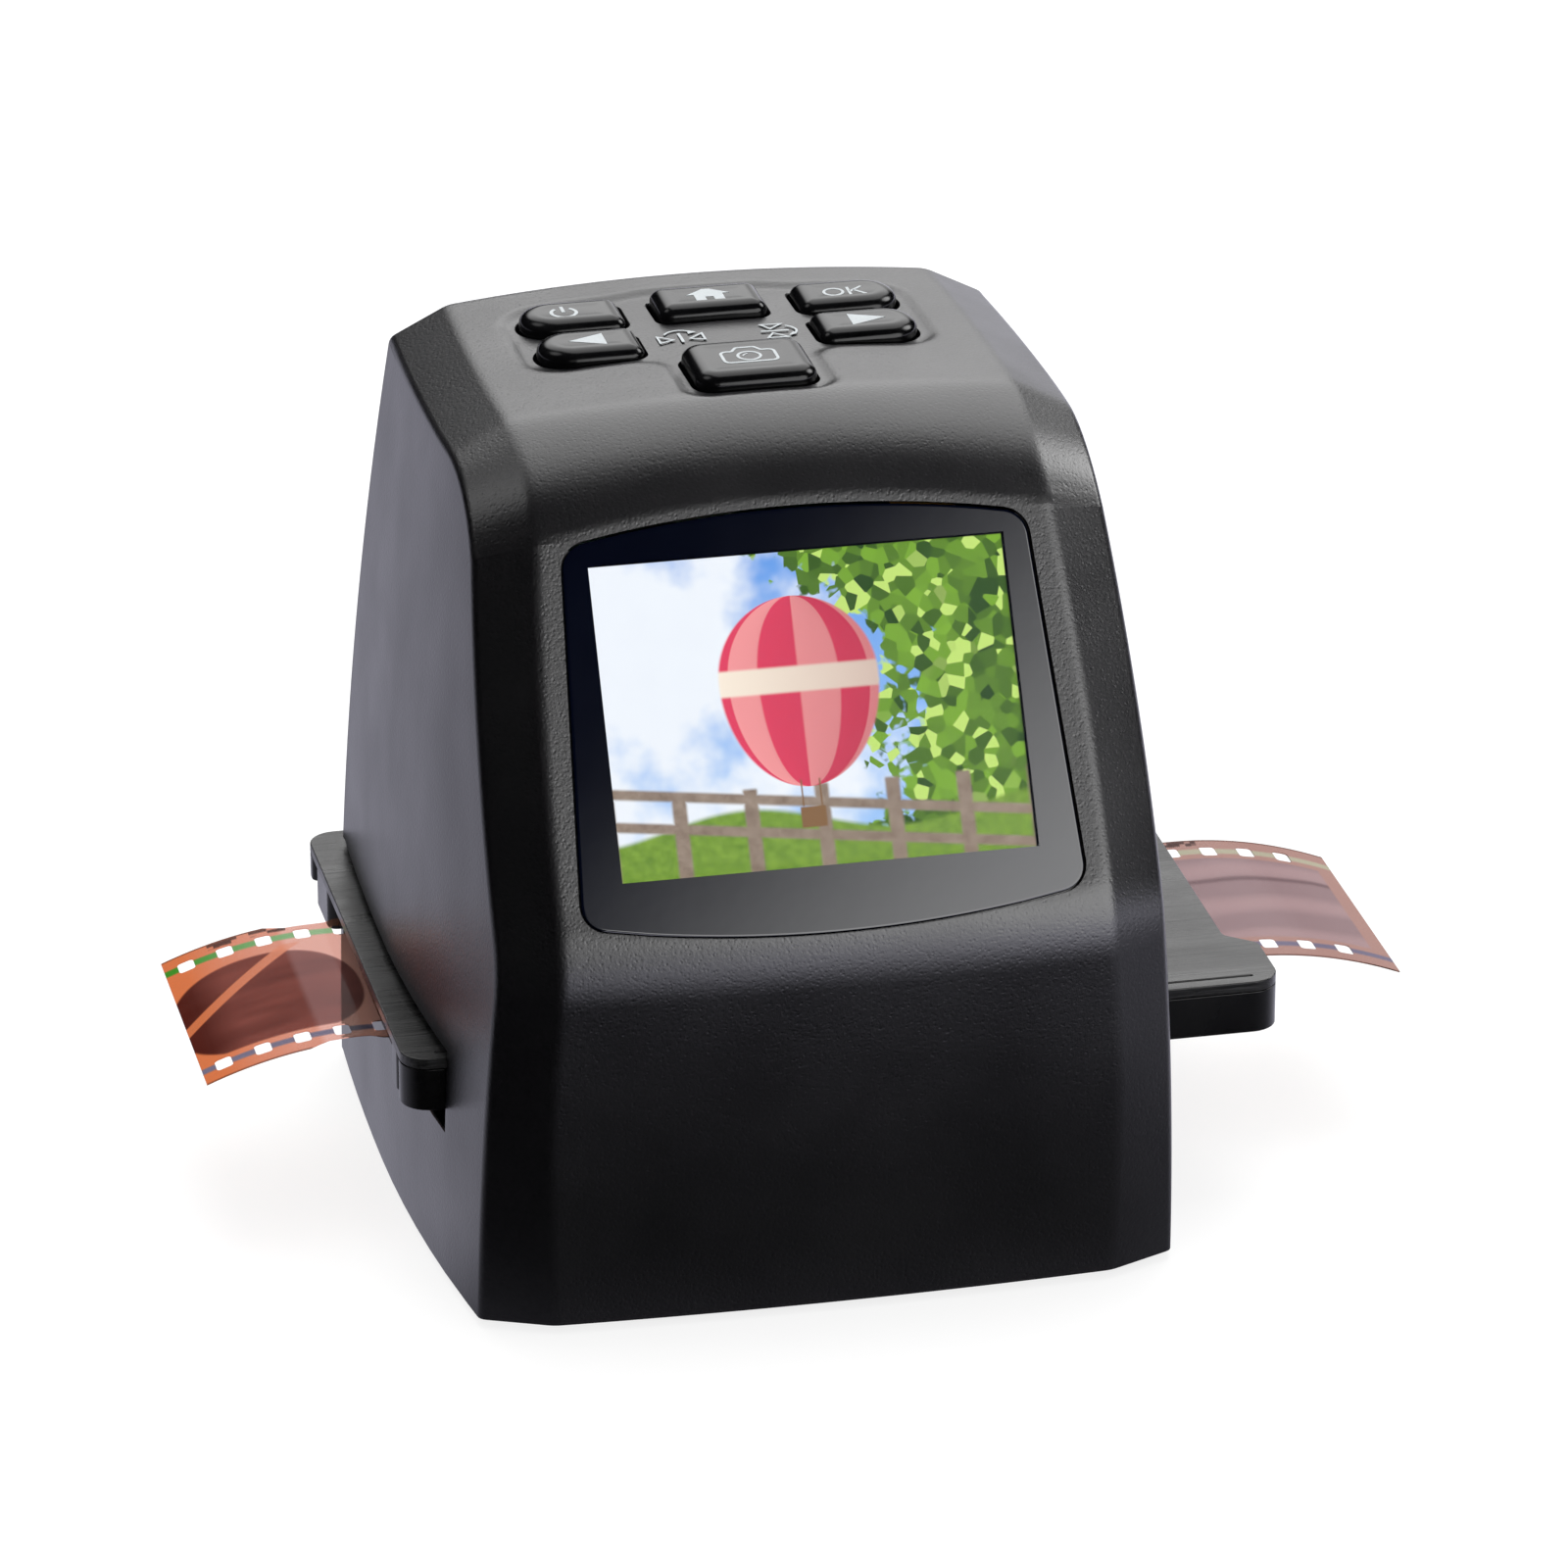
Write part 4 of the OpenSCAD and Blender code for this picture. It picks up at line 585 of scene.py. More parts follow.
LOOKS = {
    "base_plate": CASING, "rubber_feet": RUBBER, "lcd_panel": PICTURE, "lcd_frame": SHEET,
    "lcd_screws": STEEL, "button_board": BOARD, "tact_switches": CHIP, "button_board_screws": STEEL,
    "main_board": BOARD, "processor_chips": CHIP, "usb_socket": SHEET, "sd_card_socket": SHEET,
    "tv_out_jack": CHIP, "main_board_screws": STEEL, "lower_guide": GUIDE, "upper_guide": GUIDE,
    "lower_guide_screws": STEEL, "upper_guide_screws": STEEL, "brake_spring": SHEET,
    "light_box": WHITE, "led_board": WHITE, "leds": LED, "diffuser": OPAL, "light_tunnel": OPTIC,
    "lens_holder": OPTIC, "lens_barrel": OPTIC, "lens_glass": LENS, "sensor_board": BOARD,
    "image_sensor": SENSOR, "screen_ribbon": AMBER, "button_ribbon": AMBER,
    "sensor_ribbon": AMBER, "backlight_lead": LEAD,
}
for name, look in LOOKS.items():
    mesh = nodes[name].data
    mesh.materials.clear()
    mesh.materials.append(look)
    mesh.polygons.foreach_set("material_index", [0] * len(mesh.polygons))
    shade(nodes[name], 30)


# ---- casing ----

def half_width(y, z):
    away = y - WIDEST_Y
    return (SIDE_HALF - z * z / 2 / SIDE_RISE_R
            - away * away / 2 / (SIDE_BOW_R if away < 0 else SIDE_TAIL_R))


def strip_width(z):
    return CHAMFER_W + (CHAMFER_FOOT_W - CHAMFER_W) * max(0, 1 - z / 25)


def fill(a, b, step):
    n = max(1, round(math.dist(a, b) / step))
    return [lerp(a, b, k / n) for k in range(1, n)]


chin_arc = corner(FRONT_FOOT, CHIN, BROW, CHIN_R, 20)
brow_arc = corner(CHIN, BROW, CREST, BROW_R, 6)
crest_arc = corner(BROW, CREST, TOP_TAIL, CREST_R, 44)
PROFILE = ([FRONT_FOOT] + fill(FRONT_FOOT, chin_arc[0], 1.6) + chin_arc
           + fill(chin_arc[-1], brow_arc[0], 0.9) + brow_arc + crest_arc
           + fill(crest_arc[-1], TOP_TAIL, 0.6) + [TOP_TAIL])
LAST = len(PROFILE) - 1
SIDE_TOP = TOP_TAIL[1] - CHAMFER_D - 10
SIDE_N, FACE_N, EDGE_N = 12, 96, 5
EDGE_R = 0.8

lengths = [0.0]
for a, b in zip(PROFILE, PROFILE[1:]):
    lengths.append(lengths[-1] + math.dist(a, b))


def outward(i):
    if i == 0:
        return (-1.0, 0.0)
    if i == LAST:
        return (0.0, 1.0)
    t = unit((PROFILE[i + 1][0] - PROFILE[i - 1][0], PROFILE[i + 1][1] - PROFILE[i - 1][1]))
    return (-t[1], t[0])


def bend(a, middle, b, r):
    """Soft edge at middle: a curve that starts r from it towards a and ends r from it towards b."""
    start = add(middle, times(unit(add(a, times(middle, -1))), r))
    end = add(middle, times(unit(add(b, times(middle, -1))), r))
    out = []
    for k in range(EDGE_N):
        t = k / (EDGE_N - 1)
        out.append(add(times(start, (1 - t) ** 2), times(middle, 2 * t * (1 - t)), times(end, t * t)))
    return out


RECESS_HALF = KEY_X + KEY_W / 2 + RECESS_RIM
RECESS_STEM = CAPTURE_W / 2 + RECESS_RIM
RECESS_REAR = REAR_ROW_Y + KEY_D / 2 + RECESS_RIM
RECESS_STEP = FRONT_ROW_Y - KEY_D / 2 - RECESS_RIM
RECESS_FRONT = CAPTURE_Y - CAPTURE_D / 2 - RECESS_RIM
RECESS_SOFT = 1.3


def box_distance(x, y, x0, y0, x1, y1, r):
    """Distance from a rectangle with round corners, negative inside."""
    dx = max(x0 + r - x, x - x1 + r)
    dy = max(y0 + r - y, y - y1 + r)
    return math.hypot(max(dx, 0), max(dy, 0)) + min(max(dx, dy), 0) - r


def recess_depth(x, y):
    """Depth of the T-shaped recess round the buttons."""
    bar = box_distance(x, y, -RECESS_HALF, RECESS_STEP, RECESS_HALF, RECESS_REAR, 6)
    stem = box_distance(x, y, -RECESS_STEM, RECESS_FRONT, RECESS_STEM, RECESS_REAR, 4)
    near = 4.0
    share = max(near - abs(bar - stem), 0) / near
    out = min(bar, stem) - share * share * near / 4
    return RECESS_D * smooth(-out / RECESS_SOFT)


# Flat rim and its height, slope above it, where that slope ends, its bend, and the soft joint
FLAT_RIM, FLAT_W, FALL = 1.1, WINDOW_FACE + 0.06, 0.25
BAND, BEND, JOIN = 3.0, 0.036, 0.6
SETTLE_LOW, SETTLE_TOP, SETTLE_FADE = -27, 40, 6


def settle(q):
    """Sinks the skin round the window to one plane, and eases the crest down to it."""
    away = add(q, times(SCREEN_MIDDLE, -1))
    v = sum(a * b for a, b in zip(away, SCREEN_UP))
    w = sum(a * b for a, b in zip(away, SCREEN_OUT))
    if not SETTLE_LOW < v < SETTLE_TOP:
        return q
    g = math.dist((q[0], v), (0, WINDOW_UP - WINDOW_ARCH_R)) - WINDOW_ARCH_R - FLAT_RIM
    g = max(g, 0)
    limit = FLAT_W - FALL * (g * g / 2 if g < 1 else g - 0.5) - BEND * max(g - BAND, 0) ** 2
    soft = JOIN * smooth(g / BAND)
    near = max(soft - abs(w - limit), 0)
    lowered = min(w, limit) - (near * near / (4 * soft) if soft > 0 else 0)
    return add(q, times(SCREEN_OUT, (lowered - w) * smooth((v - SETTLE_LOW) / SETTLE_FADE)))


def section(i, inset, soft=True):
    """Points across the casing at station i, from the left rear edge round the front."""
    n = outward(i)
    p = add(PROFILE[i], times(n, -inset))
    o = add(p, times(n, -CHAMFER_D))
    side_edge = half_width(*o) - inset
    face_half = side_edge - strip_width(o[1])
    rear = (SPLIT_Y, SIDE_TOP * lengths[i] / lengths[-1])
    crown = FRONT_CROWN + (TOP_CROWN - FRONT_CROWN) * max(n[1], 0) ** 3

    def face(t):
        q = add(p, times(n, crown * (1 - t * t)))
        x = face_half * t
        if soft and n[1] > 0.9:
            q = add(q, times(n, -recess_depth(x, q[0])))
        return settle((x, q[0], q[1])) if soft else (x, q[0], q[1])

    left = [(inset - half_width(*q), q[0], q[1])
            for q in (lerp(rear, o, j / SIDE_N) for j in range(SIDE_N))]
    lead = left[-1]
    side_corner = (-side_edge, o[0], o[1])
    face_corner = face(-1)
    left[-1] = lerp(lead, side_corner, 0.35)
    left += bend(lead, side_corner, face_corner, EDGE_R)
    left.append(lerp(side_corner, face_corner, 0.5))
    left += bend(side_corner, face_corner, face(-0.9), EDGE_R)
    margin = 1 - EDGE_R / face_half
    middle = [face(margin * (2 * k / FACE_N - 1)) for k in range(1, FACE_N)]
    return left + middle + [(-x, y, z) for x, y, z in reversed(left)]


def skin(inset, soft=True):
    return [section(i, inset, soft) for i in range(LAST + 1)]


def housing_shell():
    outer, inner = skin(0), skin(WALL, False)
    form = Form()
    columns = len(outer[0])
    form.points = [p for r in outer for p in r] + [p for r in inner for p in r]
    size = len(outer) * columns
    for i in range(LAST):
        for j in range(columns - 1):
            a = i * columns + j
            form.face((a, a + columns, a + columns + 1, a + 1))
            form.face((size + a, size + a + 1, size + a + columns + 1, size + a + columns))
    for j in range(columns - 1):
        form.face((j, j + 1, size + j + 1, size + j))
        a = LAST * columns + j
        form.face((a + 1, a, size + a, size + a + 1))
    for i in range(LAST):
        a, b = i * columns, i * columns + columns - 1
        form.face((a + columns, a, size + a, size + a + columns))
        form.face((b, b + columns, size + b + columns, size + b))
    return form


def window_outline(grow):
    """Outline of the window: arched top and bottom, slanting sides and round corners."""
    low = (WINDOW_FOOT_HALF + 0.6, -WINDOW_DOWN - 1)
    high = (WINDOW_TOP_HALF - 0.3, WINDOW_UP + 1)
    top, foot = (0, WINDOW_UP - WINDOW_ARCH_R), (0, WINDOW_SAG_R - WINDOW_DOWN)

    def crossing(centre, radius, a, b):
        for _ in range(60):
            m = lerp(a, b, 0.5)
            if math.dist(m, centre) < radius:
                a = m
            else:
                b = m
        return a

    middle = lerp(low, high, 0.5)
    upper = crossing(top, WINDOW_ARCH_R, middle, high)
    lower = crossing(foot, WINDOW_SAG_R, middle, low)

    def arch(x):
        return (x, top[1] + math.sqrt(WINDOW_ARCH_R ** 2 - x * x))

    def sag(x):
        return (x, foot[1] - math.sqrt(WINDOW_SAG_R ** 2 - x * x))

    half = [k * 2.0 for k in range(-11, 12)]
    points = [(-lower[0], lower[1])] + [sag(x) for x in half] + [lower, upper]
    points += [arch(-x) for x in half] + [(-upper[0], upper[1])]
    radii = [WINDOW_CORNER_R if i in (0, len(half) + 1, len(half) + 2, len(points) - 1) else 0
             for i in range(len(points))]
    outline = rounded(points, radii, 8)
    if grow == 0:
        return outline
    out = []
    for i, p in enumerate(outline):
        a, b = outline[i - 1], outline[(i + 1) % len(outline)]
        t = unit((b[0] - a[0], b[1] - a[1]))
        out.append((p[0] + t[1] * grow, p[1] - t[0] * grow))
    return out


def top_skin(x, y):
    """Height of the top's outer skin, recess included."""
    t = x / TOP_FACE_HALF
    return TOP_Z - max(0, y) * TOP_DROP / SPLIT_Y + TOP_CROWN * (1 - t * t) - recess_depth(x, y)


TOP_FACE_HALF = half_width(0, TOP_Z - CHAMFER_D) - CHAMFER_W


def key_outline(key, grow):
    """Outline of a button, grown outward."""
    at, w, d, left, right = KEYS_AT[key]
    radii = [max(left + grow, 0.2), max(right + grow, 0.2)]
    points = rect(at[0] - w / 2 - grow, at[1] - d / 2 - grow, at[0] + w / 2 + grow, at[1] + d / 2 + grow)
    return rounded(points, [radii[0], radii[1], radii[1], radii[0]], 10)


KEYS_AT = {
    "power": ((-KEY_X, REAR_ROW_Y), KEY_W, KEY_D, KEY_ROUND, KEY_CORNER_R),
    "home": ((0, REAR_ROW_Y), HOME_W, KEY_D, KEY_CORNER_R, KEY_CORNER_R),
    "ok": ((KEY_X, REAR_ROW_Y), KEY_W, KEY_D, KEY_CORNER_R, KEY_ROUND),
    "left": ((-KEY_X, FRONT_ROW_Y), KEY_W, KEY_D, KEY_ROUND, KEY_CORNER_R),
    "right": ((KEY_X, FRONT_ROW_Y), KEY_W, KEY_D, KEY_CORNER_R, KEY_ROUND),
    "capture": ((0, CAPTURE_Y), CAPTURE_W, CAPTURE_D, KEY_CORNER_R + 1, KEY_CORNER_R + 1),
}


def key_cutters():
    """One opening for each button, with a soft edge at the skin."""
    form = Form()
    for key in KEYS_AT:
        rings = []
        for grow, rise in ((0, -6), (0, -0.4), (0.08, -0.18), (0.22, -0.04), (0.45, 0.06), (0.9, 2.5)):
            base = key_outline(key, KEY_GAP)
            rings.append([(x, y, top_skin(*base[k]) + rise)
                          for k, (x, y) in enumerate(key_outline(key, KEY_GAP + grow))])
        form.loft(rings)
    return to_object("cut_keys", form)


def slot_cutter(side, y_end):
    """The tray's slot in one side wall."""
    outline = split_edges(rect(-SLOT_FRONT, SLOT_LOW, y_end, SLOT_TOP), 3.0)
    middle = ((y_end - SLOT_FRONT) / 2, (SLOT_LOW + SLOT_TOP) / 2)
    spread = ((y_end + SLOT_FRONT) / 2, (SLOT_TOP - SLOT_LOW) / 2)

    def ring(out, grow):
        made = []
        for y, z in outline:
            gy = middle[0] + (y - middle[0]) * (spread[0] + grow) / spread[0]
            gz = middle[1] + (z - middle[1]) * (spread[1] + grow) / spread[1]
            x = 12 if out is None else 60 if out == "far" else half_width(y, z) + out
            made.append((side * x, gy, gz))
        return made

    form = Form()
    form.loft([ring(None, 0), ring(-0.3, 0), ring(-0.1, 0.08), ring(0.02, 0.25), ring(0.4, 0.6),
               ring("far", 0.6)])
    return to_object("cut_slot", form)


def front_housing():
    housing = to_object("front_housing_shell", housing_shell(), materials=[CASING], recalc=False)
    pocket = Form()
    pocket.loft([[(u, v, w) for u, v in window_outline(grow)] for grow, w in
                 ((WINDOW_GAP, WINDOW_BACK), (WINDOW_GAP, 12))])
    opening = Form()
    half = (PICTURE_W / 2 + GLASS_RIM + LCD_GAP, PICTURE_H / 2 + GLASS_RIM + LCD_GAP)
    opening.block((-half[0], -half[1], -8), (half[0], half[1], 8))
    carve(housing, to_object("cut_window", pocket, on_screen), to_object("cut_picture", opening, on_screen),
          key_cutters(), slot_cutter(-1, SPLIT_Y + 1), slot_cutter(1, SPLIT_Y + 1))
    shade(housing, 32)
    flow(housing)
    return fit(housing, "casing", ["front_housing"])


def rear_outline(inset):
    """The casing's outline at the split, drawn in by inset."""
    across = [(p[0], p[2]) for p in section(LAST, inset, False)[SIDE_N:-SIDE_N]]
    top = across[0][1]
    heights = [inset + (top - 1.5 - inset) * k / 24 for k in range(25)]
    left = [(inset - half_width(SPLIT_Y, z), z) for z in heights]
    return left + across + [(-x, z) for x, z in reversed(left)]


def rear_cover():
    outer = Form()
    stations = ((0, 0), (0.8, 0), (1.3, 0.12), (1.9, 0.45), (6.4, 2.9), (7.2, 3.5), (7.9, 4.25), (8.35, 5.1),
                (8.65, 6.2), (8.8, 7.6))
    outer.loft([[(x, SPLIT_Y + out, z) for x, z in rear_outline(inset)] for out, inset in stations])
    cover = to_object("rear_cover_shell", outer, materials=[CASING])
    inner = Form()
    inner.loft([[(x, SPLIT_Y + out, z) for x, z in rear_outline(inset)] for out, inset in
                ((-1, WALL), (1, WALL), (REAR_DEPTH - WALL, WALL + REAR_SLOPE))])
    cuts = [to_object("cut_inner", inner)]
    slot_form = Form()
    slot_form.block((-60, SPLIT_Y - 1, SLOT_LOW), (60, TRAY_REAR + 0.6, SLOT_TOP))
    cuts.append(to_object("cut_slot", slot_form))
    sockets = Form()
    for low, high in SOCKET_MOUTHS:
        sockets.block((low[0], SPLIT_Y + 1, low[1]), (high[0], REAR_Y + 2, high[1]))
    cuts.append(to_object("cut_sockets", sockets))
    rounds = Form()
    bores = [(p, 1.05, SPLIT_Y - 1) for p in REAR_SCREWS]
    bores.append(((JACK_X, MAIN_TOP + JACK_R), JACK_R + 0.2, SPLIT_Y + 1))
    for (x, z), r, y0 in bores:
        rounds.loft([[(x + r * math.cos(a), y, z + r * math.sin(a)) for a in turn(32)]
                     for y in (y0, REAR_Y + 2)])
    cuts.append(to_object("cut_rounds", rounds))
    wells = Form()
    for x, z in REAR_SCREWS:
        wells.loft([[(x + r * math.cos(a), y, z + r * math.sin(a)) for a in turn(32)]
                    for y, r in ((REAR_Y - 1.5, 2.0), (REAR_Y - 0.25, 2.0),
                                 (REAR_Y + 0.1, 2.3), (REAR_Y + 3, 2.3))])
    cuts.append(to_object("cut_wells", wells))
    carve(cover, *cuts)
    shade(cover, 32)
    flow(cover)
    return fit(cover, "casing", ["rear_cover"])


def turn(n, phase=0.0):
    return [phase + 2 * math.pi * k / n for k in range(n)]


MAIN_TOP = 76.6
JACK_X, JACK_R = 23.0, 3.0
REAR_SCREWS = [(-33, 10), (33, 10), (-30, 81.5), (30, 81.5)]
SOCKET_MOUTHS = [((x - w / 2 - 0.2, MAIN_TOP - 0.2), (x + w / 2 + 0.2, MAIN_TOP + h + 0.2))
                 for x, w, h in ((12, 7.7, 3.9), (-11, 24.6, 2.9))]

front_housing()
rear_cover()


# ---- screen ----

def screen_window():
    """Black window with a clear field over the picture."""
    outline = window_outline(0)
    half = (PICTURE_W / 2 + 0.1, PICTURE_H / 2 + 0.1)
    field = split_edges(rect(-half[0], -half[1], half[0], half[1]), 2.0)
    form = Form()
    edge = [(0.0, WINDOW_BACK), (0.0, WINDOW_FACE - 0.25), (-0.07, WINDOW_FACE - 0.08), (-0.25, WINDOW_FACE),
            (-0.32, WINDOW_FACE)]
    for grow, w in edge:
        form.points += [(u, v, w) for u, v in window_outline(grow)]
    n, m = len(outline), len(field)
    for i in range(len(edge) - 1):
        for k in range(n):
            a, b = i * n + k, i * n + (k + 1) % n
            form.face((a, b, b + n, a + n))
    top = len(form.points)
    form.points += [(u, v, WINDOW_FACE) for u, v in field]
    low = len(form.points)
    form.points += [(u, v, WINDOW_BACK) for u, v in field]
    bridge(form, list(range((len(edge) - 1) * n, len(edge) * n)), list(range(top, top + m)))
    bridge(form, list(range(n)), list(range(low, low + m)))
    form.face(range(top, top + m), 1)
    form.face(range(low + m - 1, low - 1, -1), 1)
    window = to_object("window_plate", form, on_screen, [WINDOW, CLEAR])
    return fit(window, "casing", ["screen_window"])


def bridge(form, outer, inner):
    """Flat ring of faces between two closed outlines with different counts of points."""
    def angle(i):
        p = form.points[i]
        return math.atan2(p[1] / PICTURE_H, p[0] / PICTURE_W)
    outer = sorted(outer, key=angle)
    inner = sorted(inner, key=angle)
    i = j = 0
    while i < len(outer) or j < len(inner):
        a, b = outer[i % len(outer)], inner[j % len(inner)]
        ahead_a = angle(outer[(i + 1) % len(outer)]) + (2 * math.pi if i + 1 >= len(outer) else 0)
        ahead_b = angle(inner[(j + 1) % len(inner)]) + (2 * math.pi if j + 1 >= len(inner) else 0)
        if j >= len(inner) or (i < len(outer) and ahead_a <= ahead_b):
            form.face((a, outer[(i + 1) % len(outer)], b))
            i += 1
        else:
            form.face((a, inner[(j + 1) % len(inner)], b))
            j += 1


screen_window()


# ---- buttons ----

KEY_LEDGE_Z = 93.7
CAP_R, CAP_SOFT = 1.4, 1.9


def key_top(key):
    at, w = KEYS_AT[key][0], KEYS_AT[key][1]
    x = abs(at[0]) + w / 2 - 3
    return (TOP_Z - max(0, at[1]) * TOP_DROP / SPLIT_Y
            + TOP_CROWN * (1 - x * x / TOP_FACE_HALF ** 2) + KEY_RISE)


def strokes(form, lines, z, width=0.34, rise=0.03, closed=False):
    """Printed lines along paths, a little proud of the surface. z is a height or a function."""
    for path in lines:
        count = len(path)
        left, right = [], []
        for k, p in enumerate(path):
            a = path[k - 1] if closed or k > 0 else p
            b = path[(k + 1) % count] if closed or k < count - 1 else p
            u = unit((p[0] - a[0], p[1] - a[1])) if a != p else unit((b[0] - p[0], b[1] - p[1]))
            w = unit((b[0] - p[0], b[1] - p[1])) if b != p else u
            n = unit((-(u[1] + w[1]), u[0] + w[0]))
            reach = width / 2 / max(0.4, n[0] * -u[1] + n[1] * u[0])
            left.append((p[0] + n[0] * reach, p[1] + n[1] * reach))
            right.append((p[0] - n[0] * reach, p[1] - n[1] * reach))
        rings = []
        for l, r in zip(left, right):
            low = [(q[0], q[1], height(z, *q) - rise) for q in (l, r)]
            high = [(q[0], q[1], height(z, *q) + rise) for q in (r, l)]
            rings.append(low + high)
        if closed:
            rings.append(rings[0])
        form.loft(rings, cap_start=not closed, cap_end=not closed)


def height(z, x, y):
    return z(x, y) if callable(z) else z


def filled(form, outline, z, rise=0.03):
    form.loft([[(x, y, height(z, x, y) + side * rise) for x, y in outline] for side in (-1, 1)])


def arc(cx, cy, r, start, end, n=16):
    return [(cx + r * math.cos(math.radians(start + (end - start) * k / n)),
             cy + r * math.sin(math.radians(start + (end - start) * k / n))) for k in range(n + 1)]


def symbol(key, z):
    """The printed symbol of one button."""
    form = Form()
    (x, y) = KEYS_AT[key][0]
    if key == "power":
        strokes(form, [arc(x - 0.9, y - 0.5, 1.5, 125, 415, 24)], z, 0.42)
        strokes(form, [[(x - 0.9, y - 0.4), (x - 0.9, y + 1.5)]], z, 0.42)
    elif key == "home":
        filled(form, [(x + u, y + v) for u, v in
                      ((-1.75, -2.0), (-0.5, -2.0), (-0.5, -0.75), (0.5, -0.75), (0.5, -2.0), (1.75, -2.0),
                       (1.75, 0.1), (2.65, 0.1), (0, 2.2), (-2.65, 0.1), (-1.75, 0.1))], z)
    elif key == "ok":
        strokes(form, [arc(x - 1.55, y - 0.6, 1.15, 0, 360 - 15, 23)], z, 0.34, closed=True)
        strokes(form, [[(x + 0.35, y - 1.9), (x + 0.35, y + 0.7)], [(x + 0.45, y - 0.75), (x + 2.1, y + 0.7)],
                       [(x + 0.95, y - 0.35), (x + 2.25, y - 1.9)]], z, 0.34)
    elif key in ("left", "right"):
        side = -1 if key == "left" else 1
        filled(form, [(x + side * u, y + v) for u, v in ((-1.9, -1.95), (2.4, -0.1), (-1.9, 1.75))], z)
    else:
        frame_line = rounded([(x - 3.2, y - 2.0), (x + 3.2, y - 2.0), (x + 3.2, y + 1.6), (x + 1.75, y + 1.6),
                              (x + 1.1, y + 2.7), (x - 1.1, y + 2.7), (x - 1.75, y + 1.6),
                               (x - 3.2, y + 1.6)],
                             [0.7, 0.7, 0.7, 0.25, 0.3, 0.3, 0.25, 0.7], 4)
        strokes(form, [frame_line], z, 0.36, closed=True)
        strokes(form, [arc(x, y - 0.1, 1.35, 0, 345, 23)], z, 0.34, closed=True)
        strokes(form, [arc(x, y - 0.1, 0.7, 95, 175, 6)], z, 0.2)
    return form


def buttons():
    for key in KEYS_AT:
        top = key_top(key)
        rings = [(0.0, KEY_LEDGE_Z), (0.0, top - CAP_R)]
        rings += [(CAP_SOFT * (math.cos(a) - 1), top - CAP_R + CAP_R * math.sin(a))
                  for a in (math.radians(d) for d in range(10, 91, 10))]
        rings += [(-CAP_SOFT - 0.6, top - 0.02), (-CAP_SOFT - 1.2, top - 0.05)]
        form = Form()
        form.loft([[(x, y, z) for x, y in key_outline(key, grow)] for grow, z in rings])
        at, w, d = KEYS_AT[key][:3]
        form.block((at[0] - w / 2 - 0.3, at[1] - d / 2 - 0.3, KEY_LEDGE_Z - 0.9),
                   (at[0] + w / 2 + 0.3, at[1] + d / 2 + 0.3, KEY_LEDGE_Z))
        form.loft([[(at[0] + 1.6 * math.cos(a), at[1] + 1.6 * math.sin(a), z) for a in turn(24)]
                   for z in (KEY_LEDGE_Z - 1.1, KEY_LEDGE_Z - 0.9)])
        cap = to_object(key + "_key_cap", form, materials=[KEYS], sharp=40)
        fit(cap, key + " button", [key + "_button"])
        mark = to_object(key + "_symbol", symbol(key, top - 0.045), materials=[PRINT])
        fit(mark, key + " button")


def flip_symbols():
    """Printed mirror symbols between the button rows."""
    form = Form()
    x, y = -5.4, 17.7
    z = top_skin
    strokes(form, [[(x, y - 2.0), (x, y + 1.2)]], z, 0.36)
    for side in (-1, 1):
        wing = [(x + side * 1.0, y - 1.0), (x + side * 2.7, y - 1.7), (x + side * 2.7, y + 0.6)]
        strokes(form, [wing], z, 0.28, closed=True)
    strokes(form, [arc(x, y + 0.3, 1.9, 155, 35, 12)], z, 0.28)
    filled(form, [(x + 1.2, y + 1.9), (x + 2.2, y + 1.2), (x + 1.1, y + 0.7)], z)
    x, y = 6.2, 17.2
    strokes(form, [[(x - 1.9, y), (x + 1.5, y)]], z, 0.36)
    for side in (-1, 1):
        wing = [(x - 0.6, y + side * 0.8), (x - 1.5, y + side * 2.4), (x + 1.0, y + side * 2.4)]
        strokes(form, [wing], z, 0.28, closed=True)
    strokes(form, [arc(x + 0.5, y, 1.9, 62, -45, 12)], z, 0.28)
    filled(form, [(x + 1.1, y - 1.9), (x + 2.2, y - 1.4), (x + 1.9, y - 0.6)], z)
    mark = to_object("flip_symbols", form, materials=[PRINT])
    fit(mark, "casing")


buttons()
flip_symbols()


# ---- tray and film ----

MOUTH = (FILM_Y - FILM_W / 2 - 0.3, FILM_Y + FILM_W / 2 + 0.3)
STEP_Y = MOUTH[0] - 2.8
TRAY_END = [(TRAY_RIGHT, -TRAY_FRONT), (TRAY_RIGHT, STEP_Y - 2), (TRAY_RIGHT - TRAY_STEP, STEP_Y + 1),
            (TRAY_RIGHT - TRAY_STEP, TRAY_REAR)]
TRAY_END_RADII = [TRAY_CORNER_R, 1.5, 1.5, TRAY_CORNER_R]
PLATE_Z = TRAY_TOP - PLATE_T


